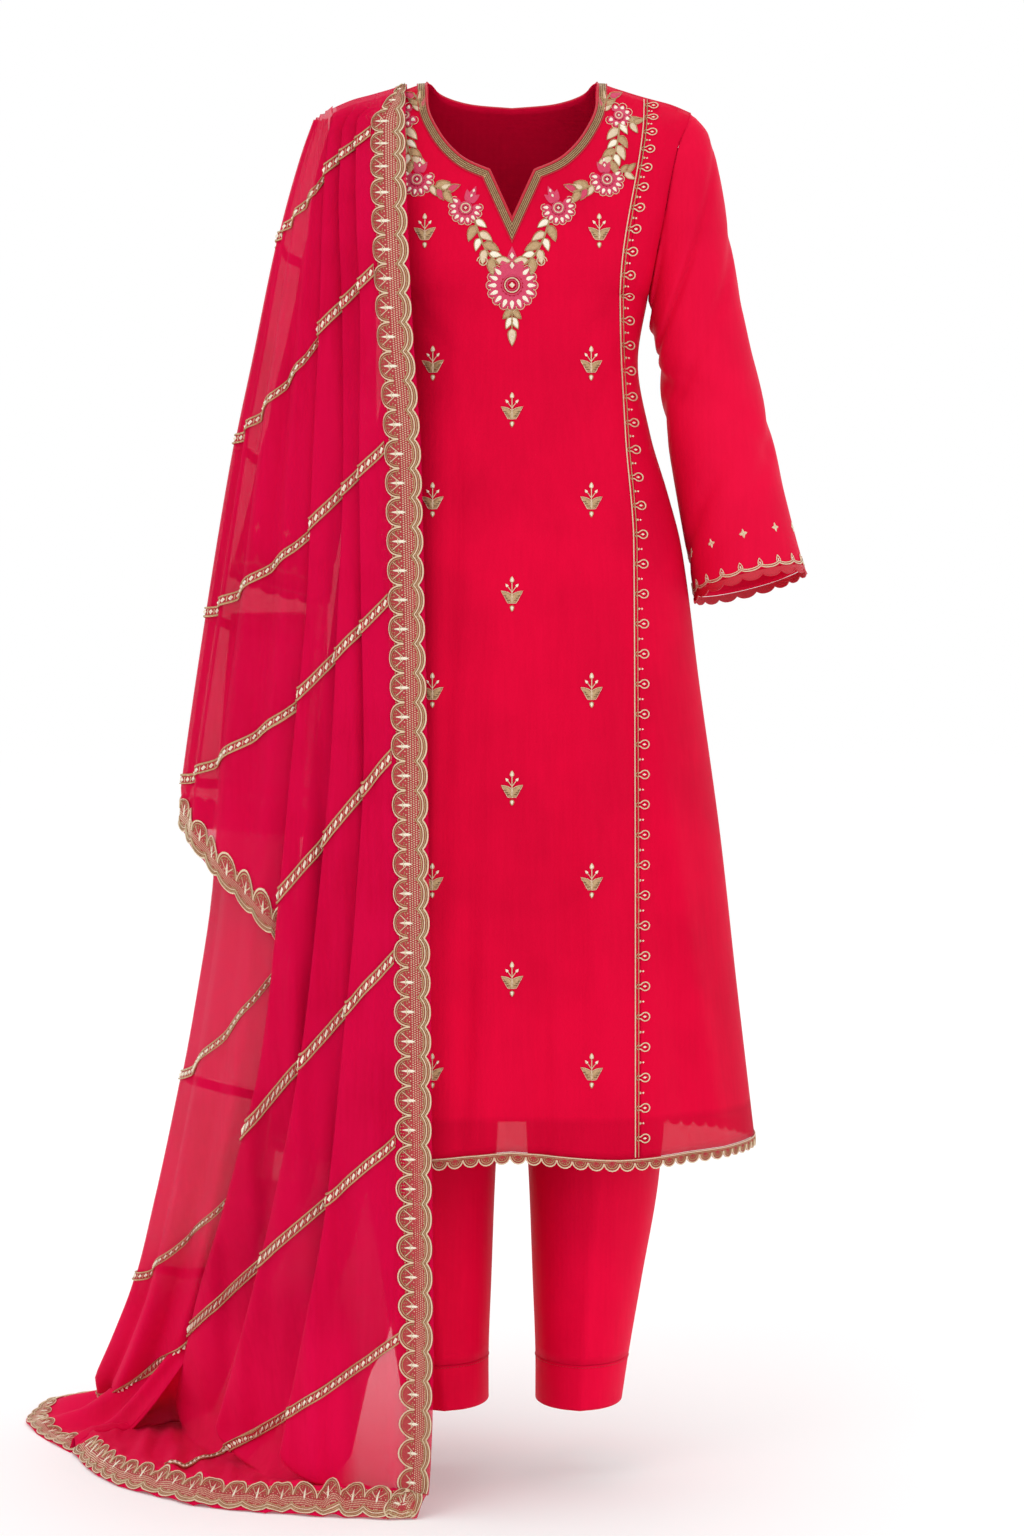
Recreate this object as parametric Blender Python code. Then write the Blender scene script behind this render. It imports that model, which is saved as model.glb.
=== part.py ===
"""A salwar kameez suit in its worn form: a princess-seamed kameez with sleeves, lining and braids, straight
trousers, and a sheer dupatta that falls in pleats from one shoulder to a short train on the floor.
Metres, +Z up, +X to the wearer's left, the front faces -Y. The origin lies between the two points where the
shoulder seams meet the neck; heights in the tables are measured from the floor. Names say left and right as
they are seen from the front, so that right is +X."""

import math

import bpy
import numpy as np

SHOULDER_HEIGHT = 1.4218
CLOTH = 0.0012
SHEER = 0.0010
TAPE = 0.0008
SEAM = 0.0002
LIFT = 0.0004
TRIM = 0.0010
ON_SEAM = 0.0005

CRIMSON = (0.730, 0.002, 0.035)
CRIMSON_LINING = (0.560, 0.002, 0.028)
CRIMSON_SHEER = (0.800, 0.020, 0.080)
GOLD = (0.550, 0.350, 0.160)


def table(columns, *rows):
    return {name: [row[i] for row in rows] for i, name in enumerate(columns.split())}


def curve(xs, ys, x):
    """The smooth line through (xs, ys) that never swings past its points."""
    xs, ys = np.asarray(xs, float), np.asarray(ys, float)
    if xs[0] > xs[-1]:
        xs, ys = xs[::-1], ys[::-1]
    step = np.diff(xs)
    slope = np.diff(ys) / step
    product = slope[:-1] * slope[1:]
    tangent = np.concatenate([slope[:1], np.zeros(len(xs) - 2), slope[-1:]])
    bends = product > 0
    tangent[1:-1][bends] = 2 * product[bends] / (slope[:-1] + slope[1:])[bends]
    x = np.clip(x, xs[0], xs[-1])
    i = np.clip(np.searchsorted(xs, x, side="right") - 1, 0, len(step) - 1)
    f = (x - xs[i]) / step[i]
    rise = ys[i + 1] - ys[i]
    start, end = tangent[i] * step[i], tangent[i + 1] * step[i]
    return ys[i] + f * start + f * f * (3 * rise - 2 * start - end) + f**3 * (start + end - 2 * rise)


def ease(x):
    x = np.clip(x, 0, 1)
    return x * x * (3 - 2 * x)


# Kameez: the worn hollow by height, half its width and how far its front and back stand out.
BODY = table(
    "height half front back",
    (1.430, 0.1815, 0.101, 0.094),
    (1.392, 0.1805, 0.101, 0.094),
    (1.351, 0.1660, 0.101, 0.094),
    (1.286, 0.1530, 0.101, 0.094),
    (1.205, 0.1380, 0.101, 0.094),
    (1.140, 0.1280, 0.099, 0.090),
    (1.068, 0.1405, 0.108, 0.104),
    (1.006, 0.1590, 0.118, 0.120),
    (0.955, 0.1723, 0.127, 0.132),
    (0.811, 0.1918, 0.142, 0.146),
    (0.658, 0.2133, 0.153, 0.155),
    (0.504, 0.2308, 0.163, 0.165),
    (0.350, 0.2492, 0.172, 0.174),
)
SHOULDER = table(
    "across height",
    (0.0000, 1.4250),
    (0.0860, 1.4218),
    (0.1060, 1.4160),
    (0.1270, 1.4095),
    (0.1430, 1.4050),
    (0.1600, 1.4005),
    (0.1805, 1.3920),
    (0.1900, 1.3870),
)
# How far the cloth has come forward or back at each drop below the shoulder line.
CHEST = table(
    "drop front back",
    (0.000, 0.000, 0.000),
    (0.006, 0.014, 0.014),
    (0.015, 0.024, 0.024),
    (0.035, 0.042, 0.040),
    (0.070, 0.063, 0.059),
    (0.120, 0.083, 0.077),
    (0.190, 0.101, 0.094),
)
UNDERARM = 1.205
ARMHOLE_MID, ARMHOLE_REACH = 1.2985, 0.0935
ARMHOLE_FRONT, ARMHOLE_BACK = 0.046, 0.042
ROUNDNESS = 2.2
HEM_FOLDS = table(
    "across width front back",
    (-0.205, 0.045, 0.006, 0.005),
    (-0.115, 0.060, 0.009, -0.006),
    (0.000, 0.070, -0.009, 0.008),
    (0.120, 0.060, 0.009, -0.005),
    (0.205, 0.045, -0.003, 0.006),
)
FOLDS_START, FOLDS_FULL = 0.85, 0.35
HEM_ROW, HEM_LACE_DROP, HEM_LACE_GAP = 0.352, 0.0120, 0.0003
HEM = table(
    "share height", (0.0, 0.3570), (0.45, 0.3500), (0.7, 0.3520), (1.0, 0.3540)
)
LINING_TOP, LINING_HEM, LINING_GAP = 1.190, 0.3860, 0.0080

NECK_FRONT = (
    (0.0, 1.2780),
    (0.0220, 1.3270),
    (0.0450, 1.3375),
    (0.0600, 1.3500),
    (0.0745, 1.3700),
    (0.0840, 1.3940),
    (0.0860, 1.4218),
)
NECK_FRONT_SHARES = (0.0, 0.17, 0.34, 0.46, 0.56, 0.64, 0.71)
NECK_BACK = (
    (0.0, 1.3990),
    (0.0400, 1.4020),
    (0.0700, 1.4100),
    (0.0860, 1.4218),
)
NECK_BAND = 0.0125
PRINCESS = table(
    "height across",
    (1.430, 0.1386),
    (1.405, 0.1386),
    (1.205, 0.1128),
    (1.068, 0.1180),
    (0.955, 0.1260),
    (0.658, 0.1270),
    (0.350, 0.1268),
)
BRAID_HALF = 0.006
ROW_HEIGHTS = (1.140, 1.050, 0.940, 0.780, 0.580)


def shoulder(across):
    return curve(SHOULDER["across"], SHOULDER["height"], np.abs(across))


def body(height, name):
    return curve(BODY["height"], BODY[name], height)


def armhole(height, reach):
    q = (height - ARMHOLE_MID) / ARMHOLE_REACH
    return reach * np.sqrt(np.clip(1 - q * q, 0, 1))


def hem_fold(across, height, side):
    full = np.clip((FOLDS_START - height) / (FOLDS_START - FOLDS_FULL), 0, 1) ** 1.3
    bumps = zip(HEM_FOLDS["across"], HEM_FOLDS["width"], HEM_FOLDS[side])
    return full * sum(out * np.exp(-(((across - x) / width) ** 2)) for x, width, out in bumps)


def body_depth(across, height, side):
    """How far the front or back of the kameez stands out from the plane of its side seams."""
    reach = ARMHOLE_FRONT if side == "front" else ARMHOLE_BACK
    share = np.clip(np.abs(across) / body(height, "half"), 0, 1)
    drop = np.maximum(shoulder(across) - height, 0)
    upper = curve(CHEST["drop"], CHEST[side], drop)
    middle = np.where(height > UNDERARM, upper, body(height, side))
    edge = armhole(height, reach)
    round_off = (1 - share**ROUNDNESS) ** (1 / ROUNDNESS)
    return edge + (middle - edge + hem_fold(across, height, side)) * round_off


def body_point(across, height, side, inward=0.0):
    """A point of the kameez and the way out of it, which stays in the plane of a seam along the seam."""
    sign = -1.0 if side == "front" else 1.0
    half = float(body(height, "half"))
    across = float(np.clip(across, -half, half))
    depth = float(body_depth(across, height, side))
    step = 0.0008
    low, high = max(across - step, -half * 0.9998), min(across + step, half * 0.9998)
    slope_x = float(body_depth(high, height, side) - body_depth(low, height, side)) / (high - low)
    slope_z = float(body_depth(across, height + step, side) - body_depth(across, height - step, side))
    out = np.array([-slope_x, sign, -slope_z / (2 * step)])
    if depth < ON_SEAM:
        out[1] = 0.0
    out /= np.linalg.norm(out)
    point = np.array([across, sign * (depth + SEAM), height - SHOULDER_HEIGHT])
    return point - out * inward, out


def offset_line(points, distance):
    """The polyline moved to its right by a distance, with mitred corners."""
    points = np.array(points, float)
    along = np.diff(points, axis=0)
    along /= np.linalg.norm(along, axis=1)[:, None]
    right = np.stack([along[:, 1], -along[:, 0]], axis=1)
    first = np.vstack([right[:1], right])
    second = np.vstack([right, right[-1:]])
    return points + distance * (first + second) / (1 + (first * second).sum(axis=1))[:, None]


def smooth(obj):
    obj.data.shade_smooth()
    obj.data.set_sharp_from_angle(angle=math.radians(40))


def material(name, color, roughness, metallic=0.0, alpha=1.0):
    found = bpy.data.materials.get(name)
    if found:
        return found
    made = bpy.data.materials.new(name)
    made.use_nodes = True
    shader = made.node_tree.nodes["Principled BSDF"]
    shader.inputs["Base Color"].default_value = (*color, 1.0)
    shader.inputs["Roughness"].default_value = roughness
    shader.inputs["Metallic"].default_value = metallic
    shader.inputs["Alpha"].default_value = alpha
    return made


def crimson():
    return material("crimson_georgette", CRIMSON, 0.55)


def lining():
    return material("crimson_lining", CRIMSON_LINING, 0.45)


def sheer():
    return material("crimson_chiffon", CRIMSON_SHEER, 0.60, alpha=0.6)


def gold():
    return material("gold_lace", GOLD, 0.45, 0.35)


def panel(name, points, outs, thickness, stuff, ring=False, lift=0.0):
    """A closed wall: its outer face runs through a grid of points and its inner face lies one thickness in."""
    points, outs = np.asarray(points, float), np.asarray(outs, float)
    rows, columns = points.shape[:2]
    outer = points + outs * lift
    inner = outer - outs * thickness if lift == 0 else points + outs * LIFT
    verts = np.concatenate([outer.reshape(-1, 3), inner.reshape(-1, 3)])
    count = rows * columns
    faces = []
    spans = columns if ring else columns - 1

    def at(row, column):
        return row * columns + column % columns

    for r in range(rows - 1):
        for c in range(spans):
            a, b, d, e = at(r, c), at(r, c + 1), at(r + 1, c + 1), at(r + 1, c)
            faces += [(a, e, d), (a, d, b)]
            faces += [(a + count, d + count, e + count), (a + count, b + count, d + count)]
    for c in range(spans):
        for r, turned in ((0, False), (rows - 1, True)):
            a, b = (at(r, c + 1), at(r, c)) if turned else (at(r, c), at(r, c + 1))
            faces.append((a, b, b + count, a + count))
    if not ring:
        for r in range(rows - 1):
            for c, turned in ((0, True), (columns - 1, False)):
                a, b = (at(r + 1, c), at(r, c)) if turned else (at(r, c), at(r + 1, c))
                faces.append((a, b, b + count, a + count))
    mesh = bpy.data.meshes.new(name)
    mesh.from_pydata(verts.tolist(), [], faces)
    mesh.materials.append(stuff)
    obj = bpy.data.objects.new(name, mesh)
    bpy.context.scene.collection.objects.link(obj)
    smooth(obj)
    return obj


def grid_outs(points, ring=False):
    """The way out of each point of a grid whose rows run down and whose columns run to +X on the front."""
    points = np.asarray(points, float)
    rows, columns = points.shape[:2]
    total = np.zeros_like(points)
    for r in range(rows - 1):
        for c in range(columns if ring else columns - 1):
            c2 = (c + 1) % columns
            across = points[r, c2] + points[r + 1, c2] - points[r, c] - points[r + 1, c]
            down = points[r + 1, c] + points[r + 1, c2] - points[r, c] - points[r, c2]
            out = np.cross(down, across)
            out /= max(np.linalg.norm(out), 1e-12)
            for corner in ((r, c), (r, c2), (r + 1, c), (r + 1, c2)):
                total[corner] += out
    length = np.linalg.norm(total, axis=2, keepdims=True)
    return total / np.maximum(length, 1e-12)


def body_panel(name, lines, side, thickness, stuff, inward=0.0, lift=0.0):
    """A wall through rows of (across, height) places on the kameez's front or back."""
    pairs = [[body_point(x, h, side, inward) for x, h in row] for row in lines]
    points = [[pair[0] for pair in row] for row in pairs]
    outs = [[pair[1] for pair in row] for row in pairs]
    if side == "back":
        points, outs = [row[::-1] for row in points], [row[::-1] for row in outs]
    return panel(name, points, outs, thickness, stuff, lift=lift)


def hem_height(across, half):
    return float(curve(HEM["share"], HEM["height"], abs(across) / half))


def below_rows(shares_of_row, edge_row):
    """The rows from a shaped top edge down to the hem: edge, band line, two between, underarm and below."""
    top, band, low = edge_row
    rows = [top, band]
    for share in (1 / 3, 2 / 3):
        rows.append([tuple((1 - share) * np.array(b) + share * np.array(u)) for b, u in zip(band, low)])
    rows.append(low)
    for height in ROW_HEIGHTS:
        rows.append([(x, height) for x in shares_of_row(height)])
    half = float(body(HEM_ROW, "half"))
    rows.append([(x, hem_height(x, half)) for x in shares_of_row(HEM_ROW)])
    return rows


def princess(height):
    return float(curve(PRINCESS["height"], PRINCESS["across"], height))


def centre_shares():
    return NECK_FRONT_SHARES + (0.85,)


def centre_lines():
    seam_top = princess(1.405)
    right = list(NECK_FRONT) + [(0.112, float(shoulder(0.112)))]
    right += [(seam_top - BRAID_HALF, float(shoulder(seam_top - BRAID_HALF)))]
    right += [(seam_top, float(shoulder(seam_top)))]
    moved = offset_line([(-x, h) for x, h in right[:0:-1]] + right, NECK_BAND)
    band = [tuple(p) for p in moved[len(right) - 1:]]
    band[0] = (0.0, band[0][1])
    band[7:] = [(x, h - NECK_BAND) for x, h in right[7:]]

    def across(height):
        seam = princess(height)
        half = [share * seam for share in centre_shares()] + [seam - BRAID_HALF, seam]
        return [-x for x in half[:0:-1]] + half

    def mirrored(points):
        return [(-x, h) for x, h in points[:0:-1]] + list(points)

    low = [(x, UNDERARM) for x in across(UNDERARM)]
    return below_rows(across, (mirrored(right), mirrored(band), low))


def side_across(height):
    seam, half = princess(height), float(body(height, "half"))
    return [seam, seam + BRAID_HALF, seam + 0.55 * (half - seam), seam + 0.86 * (half - seam), half]


def side_lines():
    """The right-hand side panel, from the princess seam to the armhole and side seam."""
    seam, tip = princess(1.405), 0.1805
    tops = [seam, seam + BRAID_HALF, 0.1590, 0.1720, tip]
    top = [(x, float(shoulder(x))) for x in tops]
    band = [(x, h - NECK_BAND) for x, h in top]
    low = [(x, UNDERARM) for x in side_across(UNDERARM)]
    rows = below_rows(side_across, (top, band, low))
    for row in rows[1:4]:
        height = row[-1][1]
        row[-1] = (float(body(height, "half")), height)
    return rows


def back_lines():
    tops = list(NECK_BACK) + [(x, float(shoulder(x))) for x in (0.120, 0.1550, 0.1805)]
    moved = offset_line([(-x, h) for x, h in tops[:0:-1]] + tops, NECK_BAND)
    band = [tuple(p) for p in moved[len(tops) - 1:]]
    band[0] = (0.0, band[0][1])
    band[4:] = [(x, h - NECK_BAND) for x, h in tops[4:]]
    shares = (0.0, 0.22, 0.40, 0.56, 0.72, 0.90, 1.0)

    def across(height):
        half = [share * float(body(height, "half")) for share in shares]
        return [-x for x in half[:0:-1]] + half

    def mirrored(points):
        return [(-x, h) for x, h in points[:0:-1]] + list(points)

    low = [(x, UNDERARM) for x in across(UNDERARM)]
    rows = below_rows(across, (mirrored(tops), mirrored(band), low))
    for row in rows[1:4]:
        height = row[-1][1]
        half = float(body(height, "half"))
        row[0], row[-1] = (-half, height), (half, height)
    return rows


def flipped(lines):
    return [[(-x, h) for x, h in row[::-1]] for row in lines]


def pulled(lines, left, right):
    """The rows with their ends drawn in by half a seam gap."""
    rows = []
    for row in lines:
        row = list(row)
        row[0] = (row[0][0] + left, row[0][1])
        row[-1] = (row[-1][0] - right, row[-1][1])
        rows.append(row)
    return rows


def build_kameez():
    centre, side, back = centre_lines(), side_lines(), back_lines()
    body_panel("kameez_front_centre", pulled(centre, SEAM, SEAM), "front", CLOTH, crimson())
    body_panel("kameez_front_side_right", pulled(side, SEAM, 0), "front", CLOTH, crimson())
    body_panel("kameez_front_side_left", flipped(pulled(side, SEAM, 0)), "front", CLOTH, crimson())
    body_panel("kameez_back", back, "back", CLOTH, crimson())
    band = slice(3, len(centre[0]) - 3)
    body_panel("neck_band_front", [row[band] for row in centre[:2]], "front", TAPE, gold(), lift=LIFT + TAPE)
    band = slice(4, len(back[0]) - 4)
    body_panel("neck_band_back", [row[band] for row in back[:2]], "back", TAPE, gold(), lift=LIFT + TAPE)
    braid = [(inner[-2], inner[-1], outer[1]) for inner, outer in zip(centre, side)]
    body_panel("panel_braid_right", braid, "front", TAPE, gold(), lift=LIFT + TAPE)
    body_panel("panel_braid_left", flipped(braid), "front", TAPE, gold(), lift=LIFT + TAPE)
    build_hem_lace(centre, side, back)
    build_lining()


def build_hem_lace(centre, side, back):
    front = flipped([side[-1]])[0] + centre[-1][1:-1] + side[-1]
    places = [(x, h, "front") for x, h in front] + [(x, h, "back") for x, h in back[-1][-2:0:-1]]
    points, outs = [[], []], [[], []]
    for x, h, part in places:
        point, out = body_point(x, h - HEM_LACE_GAP, part)
        if abs(abs(x) - float(body(h, "half"))) < ON_SEAM:
            point[1] = 0.0
        for row, fall in enumerate((0.0, HEM_LACE_DROP)):
            points[row].append(point - (0, 0, fall))
            outs[row].append(out * (1, 1, 0))
    panel("hem_lace", points, outs, CLOTH, gold(), ring=True)


def build_lining():
    shares = (-1.0, -0.92, -0.68, -0.35, 0.0, 0.35, 0.68, 0.92, 1.0)
    heights = (LINING_TOP, 1.140, 1.050, 0.940, 0.780, 0.580, LINING_HEM)
    lines = [[(share * float(body(h, "half")), h) for share in shares] for h in heights]
    for side in ("front", "back"):
        body_panel(f"kameez_lining_{side}", lines, side, SHEER, lining(), inward=LINING_GAP)


# Sleeves: the inner and outer line of the tube seen from the front, and half its depth.
SLEEVE = table(
    "share inner inner_height outer outer_height depth",
    (0.00, 0.1380, 1.2050, 0.1805, 1.3920, 0.046),
    (0.08, 0.1400, 1.2000, 0.1985, 1.3700, 0.052),
    (0.18, 0.1420, 1.1850, 0.2100, 1.3280, 0.055),
    (0.32, 0.1455, 1.1500, 0.2235, 1.2500, 0.056),
    (0.50, 0.1520, 1.0950, 0.2430, 1.1550, 0.056),
    (0.68, 0.1635, 1.0250, 0.2650, 1.0620, 0.057),
    (0.85, 0.1760, 0.9550, 0.2830, 0.9830, 0.058),
    (1.00, 0.1850, 0.9050, 0.2970, 0.9320, 0.059),
)
SLEEVE_TILT = 0.010
CUFF_EDGE = 0.009
ARMHOLE_GAP = 0.0006
LEFT_SLEEVE_SLIMMER = 0.012


def sleeve_point(share, angle, slimmer=0.0):
    """A point of the right sleeve: angle 0 lies outside the arm, a quarter turn on lies in front."""
    def at(name):
        return float(curve(SLEEVE["share"], SLEEVE[name], share))

    inner = np.array([at("inner"), 0.0, at("inner_height")])
    outer = np.array([at("outer") - slimmer * ease(share / 0.08), 0.0, at("outer_height")])
    middle, half = (inner + outer) / 2, (outer - inner) / 2
    forward = -math.sin(angle)
    depth = at("depth") * (ARMHOLE_BACK / ARMHOLE_FRONT if forward > 0 and share == 0 else 1.0)
    point = middle + half * math.cos(angle) + (0.0, forward * depth, 0.0)
    point[2] -= SLEEVE_TILT * forward * ease(share)
    on_body = (1 - ease(share / 0.15)) * (float(body(point[2], "half")) - point[0])
    point[0] += on_body + ARMHOLE_GAP
    point[2] -= SHOULDER_HEIGHT
    return point


# The armhole's seam points, and between them points that lie on the seam's straight stretches.
SLEEVE_ANGLES = (0, 30, 53, 76, 112, 146, 180)
SEAM_BETWEEN = {53: (30, 76), 146: (112, 180)}


def sleeve_ring(share, slimmer):
    def place(degrees):
        if share == 0 and abs(degrees) in SEAM_BETWEEN:
            turned = math.copysign(1, degrees)
            return sum(place(turned * end) for end in SEAM_BETWEEN[abs(degrees)]) / 2
        return sleeve_point(share, math.radians(degrees), slimmer)

    order = list(SLEEVE_ANGLES[::-1]) + [-angle for angle in SLEEVE_ANGLES[1:-1]]
    return np.array([place(degrees) for degrees in order])


def build_sleeve(name, mirror):
    shares = (0.0, 0.08, 0.18, 0.35, 0.55, 0.78, 1.0)
    slimmer = LEFT_SLEEVE_SLIMMER if mirror else 0.0
    points = np.array([sleeve_ring(share, slimmer) for share in shares])
    if mirror:
        points = points[:, ::-1] * (-1, 1, 1)
    outs = grid_outs(points, ring=True)
    outs[0, :, 0] = 0.0
    outs[0] /= np.linalg.norm(outs[0], axis=1)[:, None]
    panel(f"sleeve_{name}", points, outs, CLOTH, crimson(), ring=True)
    along = points[-1] - points[-2]
    along /= np.linalg.norm(along, axis=1)[:, None]
    edge = [points[-1] + along * reach for reach in (0.0004, CUFF_EDGE)]
    panel(f"cuff_edge_{name}", edge, [outs[-1], outs[-1]], TAPE, gold(), ring=True)


# Trousers: hip rows use half their width from the middle; leg rows lie about the leg's own centre.
TROUSERS = table(
    "height hip centre leg front back",
    (0.985, 0.140, 0.070, 0.070, 0.098, 0.100),
    (0.900, 0.158, 0.079, 0.078, 0.112, 0.118),
    (0.800, 0.168, 0.086, 0.083, 0.118, 0.122),
    (0.700, 0.172, 0.0885, 0.0845, 0.108, 0.112),
    (0.600, 0.170, 0.0880, 0.0820, 0.096, 0.100),
    (0.450, 0.165, 0.0865, 0.0760, 0.085, 0.088),
    (0.309, 0.160, 0.0840, 0.0672, 0.080, 0.081),
    (0.200, 0.155, 0.0770, 0.0560, 0.075, 0.075),
    (0.125, 0.150, 0.0720, 0.0482, 0.072, 0.071),
    (0.078, 0.150, 0.0685, 0.0447, 0.070, 0.069),
)
CROTCH_TOP, CROTCH_LOW = 0.800, 0.700
WAIST_TOP, CUFF_SEAM, CUFF_MIDDLE, LEG_HEM = 1.020, 0.1250, 0.1000, 0.0780
LEG_ROWS = (0.985, 0.900, 0.800, 0.750, 0.700, 0.600, 0.450, 0.300, 0.200, CUFF_SEAM)
LEG_TURNS = (0.0, 0.15, 0.38, 0.62, 0.85, 1.0)
LEG_GAP = 0.0005
WAIST_SIDES = 16


def leg_point(height, turn, side):
    """A point of the right leg's front or back: turn 0 at the centre seam or inseam, 1 at the outer seam."""
    def at(name):
        return float(curve(TROUSERS["height"], TROUSERS[name], height))

    sign = -1.0 if side == "front" else 1.0
    depth = at(side)
    hip_angle, leg_angle = turn * math.pi / 2, turn * math.pi
    hip = np.array([at("hip") * math.sin(hip_angle), sign * depth * math.cos(hip_angle)])
    leg = np.array([at("centre") - at("leg") * math.cos(leg_angle), sign * depth * math.sin(leg_angle)])
    below = float(ease((CROTCH_TOP - height) / (CROTCH_TOP - CROTCH_LOW)))
    x, y = (1 - below) * hip + below * leg
    return np.array([x + SEAM, y + sign * SEAM, height - SHOULDER_HEIGHT])


def leg_out(height, turn, side):
    step = 0.004
    low, high = max(turn - step, 0.0), min(turn + step, 1.0)
    across = leg_point(height, high, side) - leg_point(height, low, side)
    down = leg_point(height - step, turn, side) - leg_point(height + step, turn, side)
    out = np.cross(down, across) if side == "front" else np.cross(across, down)
    if turn in (0.0, 1.0) and (turn == 1.0 or height <= CROTCH_LOW):
        out[1] = 0.0
    if turn == 0.0 and height >= CROTCH_TOP:
        out[0] = 0.0
    return out / np.linalg.norm(out)


def build_trousers():
    for side in ("front", "back"):
        points = np.array([[leg_point(h, t, side) for t in LEG_TURNS] for h in LEG_ROWS])
        outs = np.array([[leg_out(h, t, side) for t in LEG_TURNS] for h in LEG_ROWS])
        for name, mirror in (("right", 1), ("left", -1)):
            turned = (side == "back") != (mirror == -1)
            grid, ways = points * (mirror, 1, 1), outs * (mirror, 1, 1)
            if turned:
                grid, ways = grid[:, ::-1], ways[:, ::-1]
            panel(f"trouser_{side}_{name}", grid, ways, CLOTH, crimson())
    build_trouser_cuffs()
    build_waistband()


def build_trouser_cuffs():
    turns = LEG_TURNS[:-1]
    for name, mirror in (("right", 1), ("left", -1)):
        points = []
        for height in (CUFF_SEAM - LEG_GAP, CUFF_MIDDLE, LEG_HEM):
            front = [leg_point(height, t, "front") for t in turns]
            back = [leg_point(height, 1 - t, "back") for t in turns]
            front[0][1] = back[0][1] = 0.0
            row = np.array(front + back) * (mirror, 1, 1)
            points.append(row if mirror == 1 else row[::-1])
        panel(f"trouser_cuff_{name}", points, grid_outs(points, ring=True), CLOTH, crimson(), ring=True)


def build_waistband():
    """The folded band above the trousers, two layers thick, which holds the elastic."""
    half, front, back = (TROUSERS[name][0] for name in ("hip", "front", "back"))
    points = []
    for height in (WAIST_TOP, LEG_ROWS[0] + LEG_GAP):
        row = []
        for k in range(WAIST_SIDES):
            angle = 2 * math.pi * k / WAIST_SIDES
            depth = front if math.sin(angle) < 0 else back
            row.append((half * math.cos(angle), depth * math.sin(angle), height - SHOULDER_HEIGHT))
        points.append(row)
    panel("trouser_waistband", points, grid_outs(points, ring=True), 2 * CLOTH, crimson(), ring=True)


# Dupatta: the plan of its pleated front at each height. Each fold edge has its place, the folds tuck
# back under by "tuck" and the layers lie "gap" apart.
FALL = table(
    "height border border_y third third_y second second_y first first_y tuck gap",
    (1.3900, -0.107, -0.050, -0.156, -0.040, -0.169, -0.034, -0.182, -0.026, 0.003, 0.0040),
    (1.3000, -0.104, -0.102, -0.155, -0.094, -0.172, -0.086, -0.188, -0.074, 0.010, 0.0055),
    (1.1700, -0.098, -0.118, -0.150, -0.112, -0.168, -0.102, -0.192, -0.090, 0.014, 0.0045),
    (1.0500, -0.090, -0.124, -0.151, -0.119, -0.167, -0.109, -0.198, -0.097, 0.016, 0.0045),
    (0.9000, -0.086, -0.140, -0.149, -0.134, -0.172, -0.124, -0.204, -0.110, 0.020, 0.0050),
    (0.7500, -0.083, -0.156, -0.146, -0.150, -0.179, -0.138, -0.218, -0.122, 0.024, 0.0050),
    (0.6000, -0.081, -0.172, -0.154, -0.163, -0.192, -0.148, -0.232, -0.126, 0.028, 0.0060),
    (0.4500, -0.079, -0.186, -0.168, -0.173, -0.209, -0.152, -0.250, -0.118, 0.032, 0.0070),
    (0.3000, -0.078, -0.196, -0.184, -0.172, -0.238, -0.134, -0.288, -0.072, 0.034, 0.0080),
    (0.1800, -0.077, -0.202, -0.206, -0.160, -0.268, -0.088, -0.325, 0.008, 0.032, 0.0085),
    (0.1000, -0.078, -0.206, -0.222, -0.146, -0.290, -0.048, -0.345, 0.068, 0.022, 0.0080),
    (0.0500, -0.080, -0.208, -0.232, -0.138, -0.305, -0.018, -0.358, 0.118, 0.010, 0.0070),
)
FALL_LIFT, RIDGE_HALF = 0.005, 0.001
# The row between the ridge on the shoulder and the first row below it.
RIDGE_DOWN, RIDGE_FORWARD, RIDGE_BULGE = 0.45, 0.60, 0.006
RIDGE_START, RIDGE_END = -0.1070, -0.1830
LACE_WIDTH, LACE_MOST = 0.036, 0.7
# Where the front fall meets the floor and where its hem lies, by share of its width from the border.
FOOT = table(
    "share foot_x foot_y hem_x hem_y",
    (0.00, -0.083, -0.206, -0.093, -0.2140),
    (0.10, -0.120, -0.196, -0.140, -0.2140),
    (0.25, -0.170, -0.174, -0.200, -0.2000),
    (0.45, -0.232, -0.128, -0.275, -0.1800),
    (0.62, -0.285, -0.040, -0.345, -0.1350),
    (0.80, -0.330, 0.050, -0.420, -0.0450),
    (1.00, -0.366, 0.150, -0.463, 0.0670),
)
FOOT_HEIGHT, REST_HEIGHT = 0.014, 0.0030
FALL_SHARES = (0.0, 0.08, 0.16, 0.25, 0.27, 0.33, 0.35, 0.43, 0.52, 0.54, 0.61, 0.63, 0.75, 0.88, 0.90, 1.0)
# Each gota tape's upper edge on the front: its height at the border and at the first fold. Below the
# floor line a height counts the way along the floor.
GOTA_FRONT = table(
    "border first",
    (1.378, 1.335),
    (1.232, 1.176),
    (1.057, 0.982),
    (0.907, 0.814),
    (0.755, 0.616),
    (0.558, 0.380),
    (0.377, 0.150),
    (0.183, -0.200),
)
GOTA_WIDTH = 0.0095
LAST_TAPE_START = 4
PLAIN_STRETCHES = (2, 3)
HEM_LACE = 0.026


def fall(height, name):
    return float(curve(FALL["height"], FALL[name], height))


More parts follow.
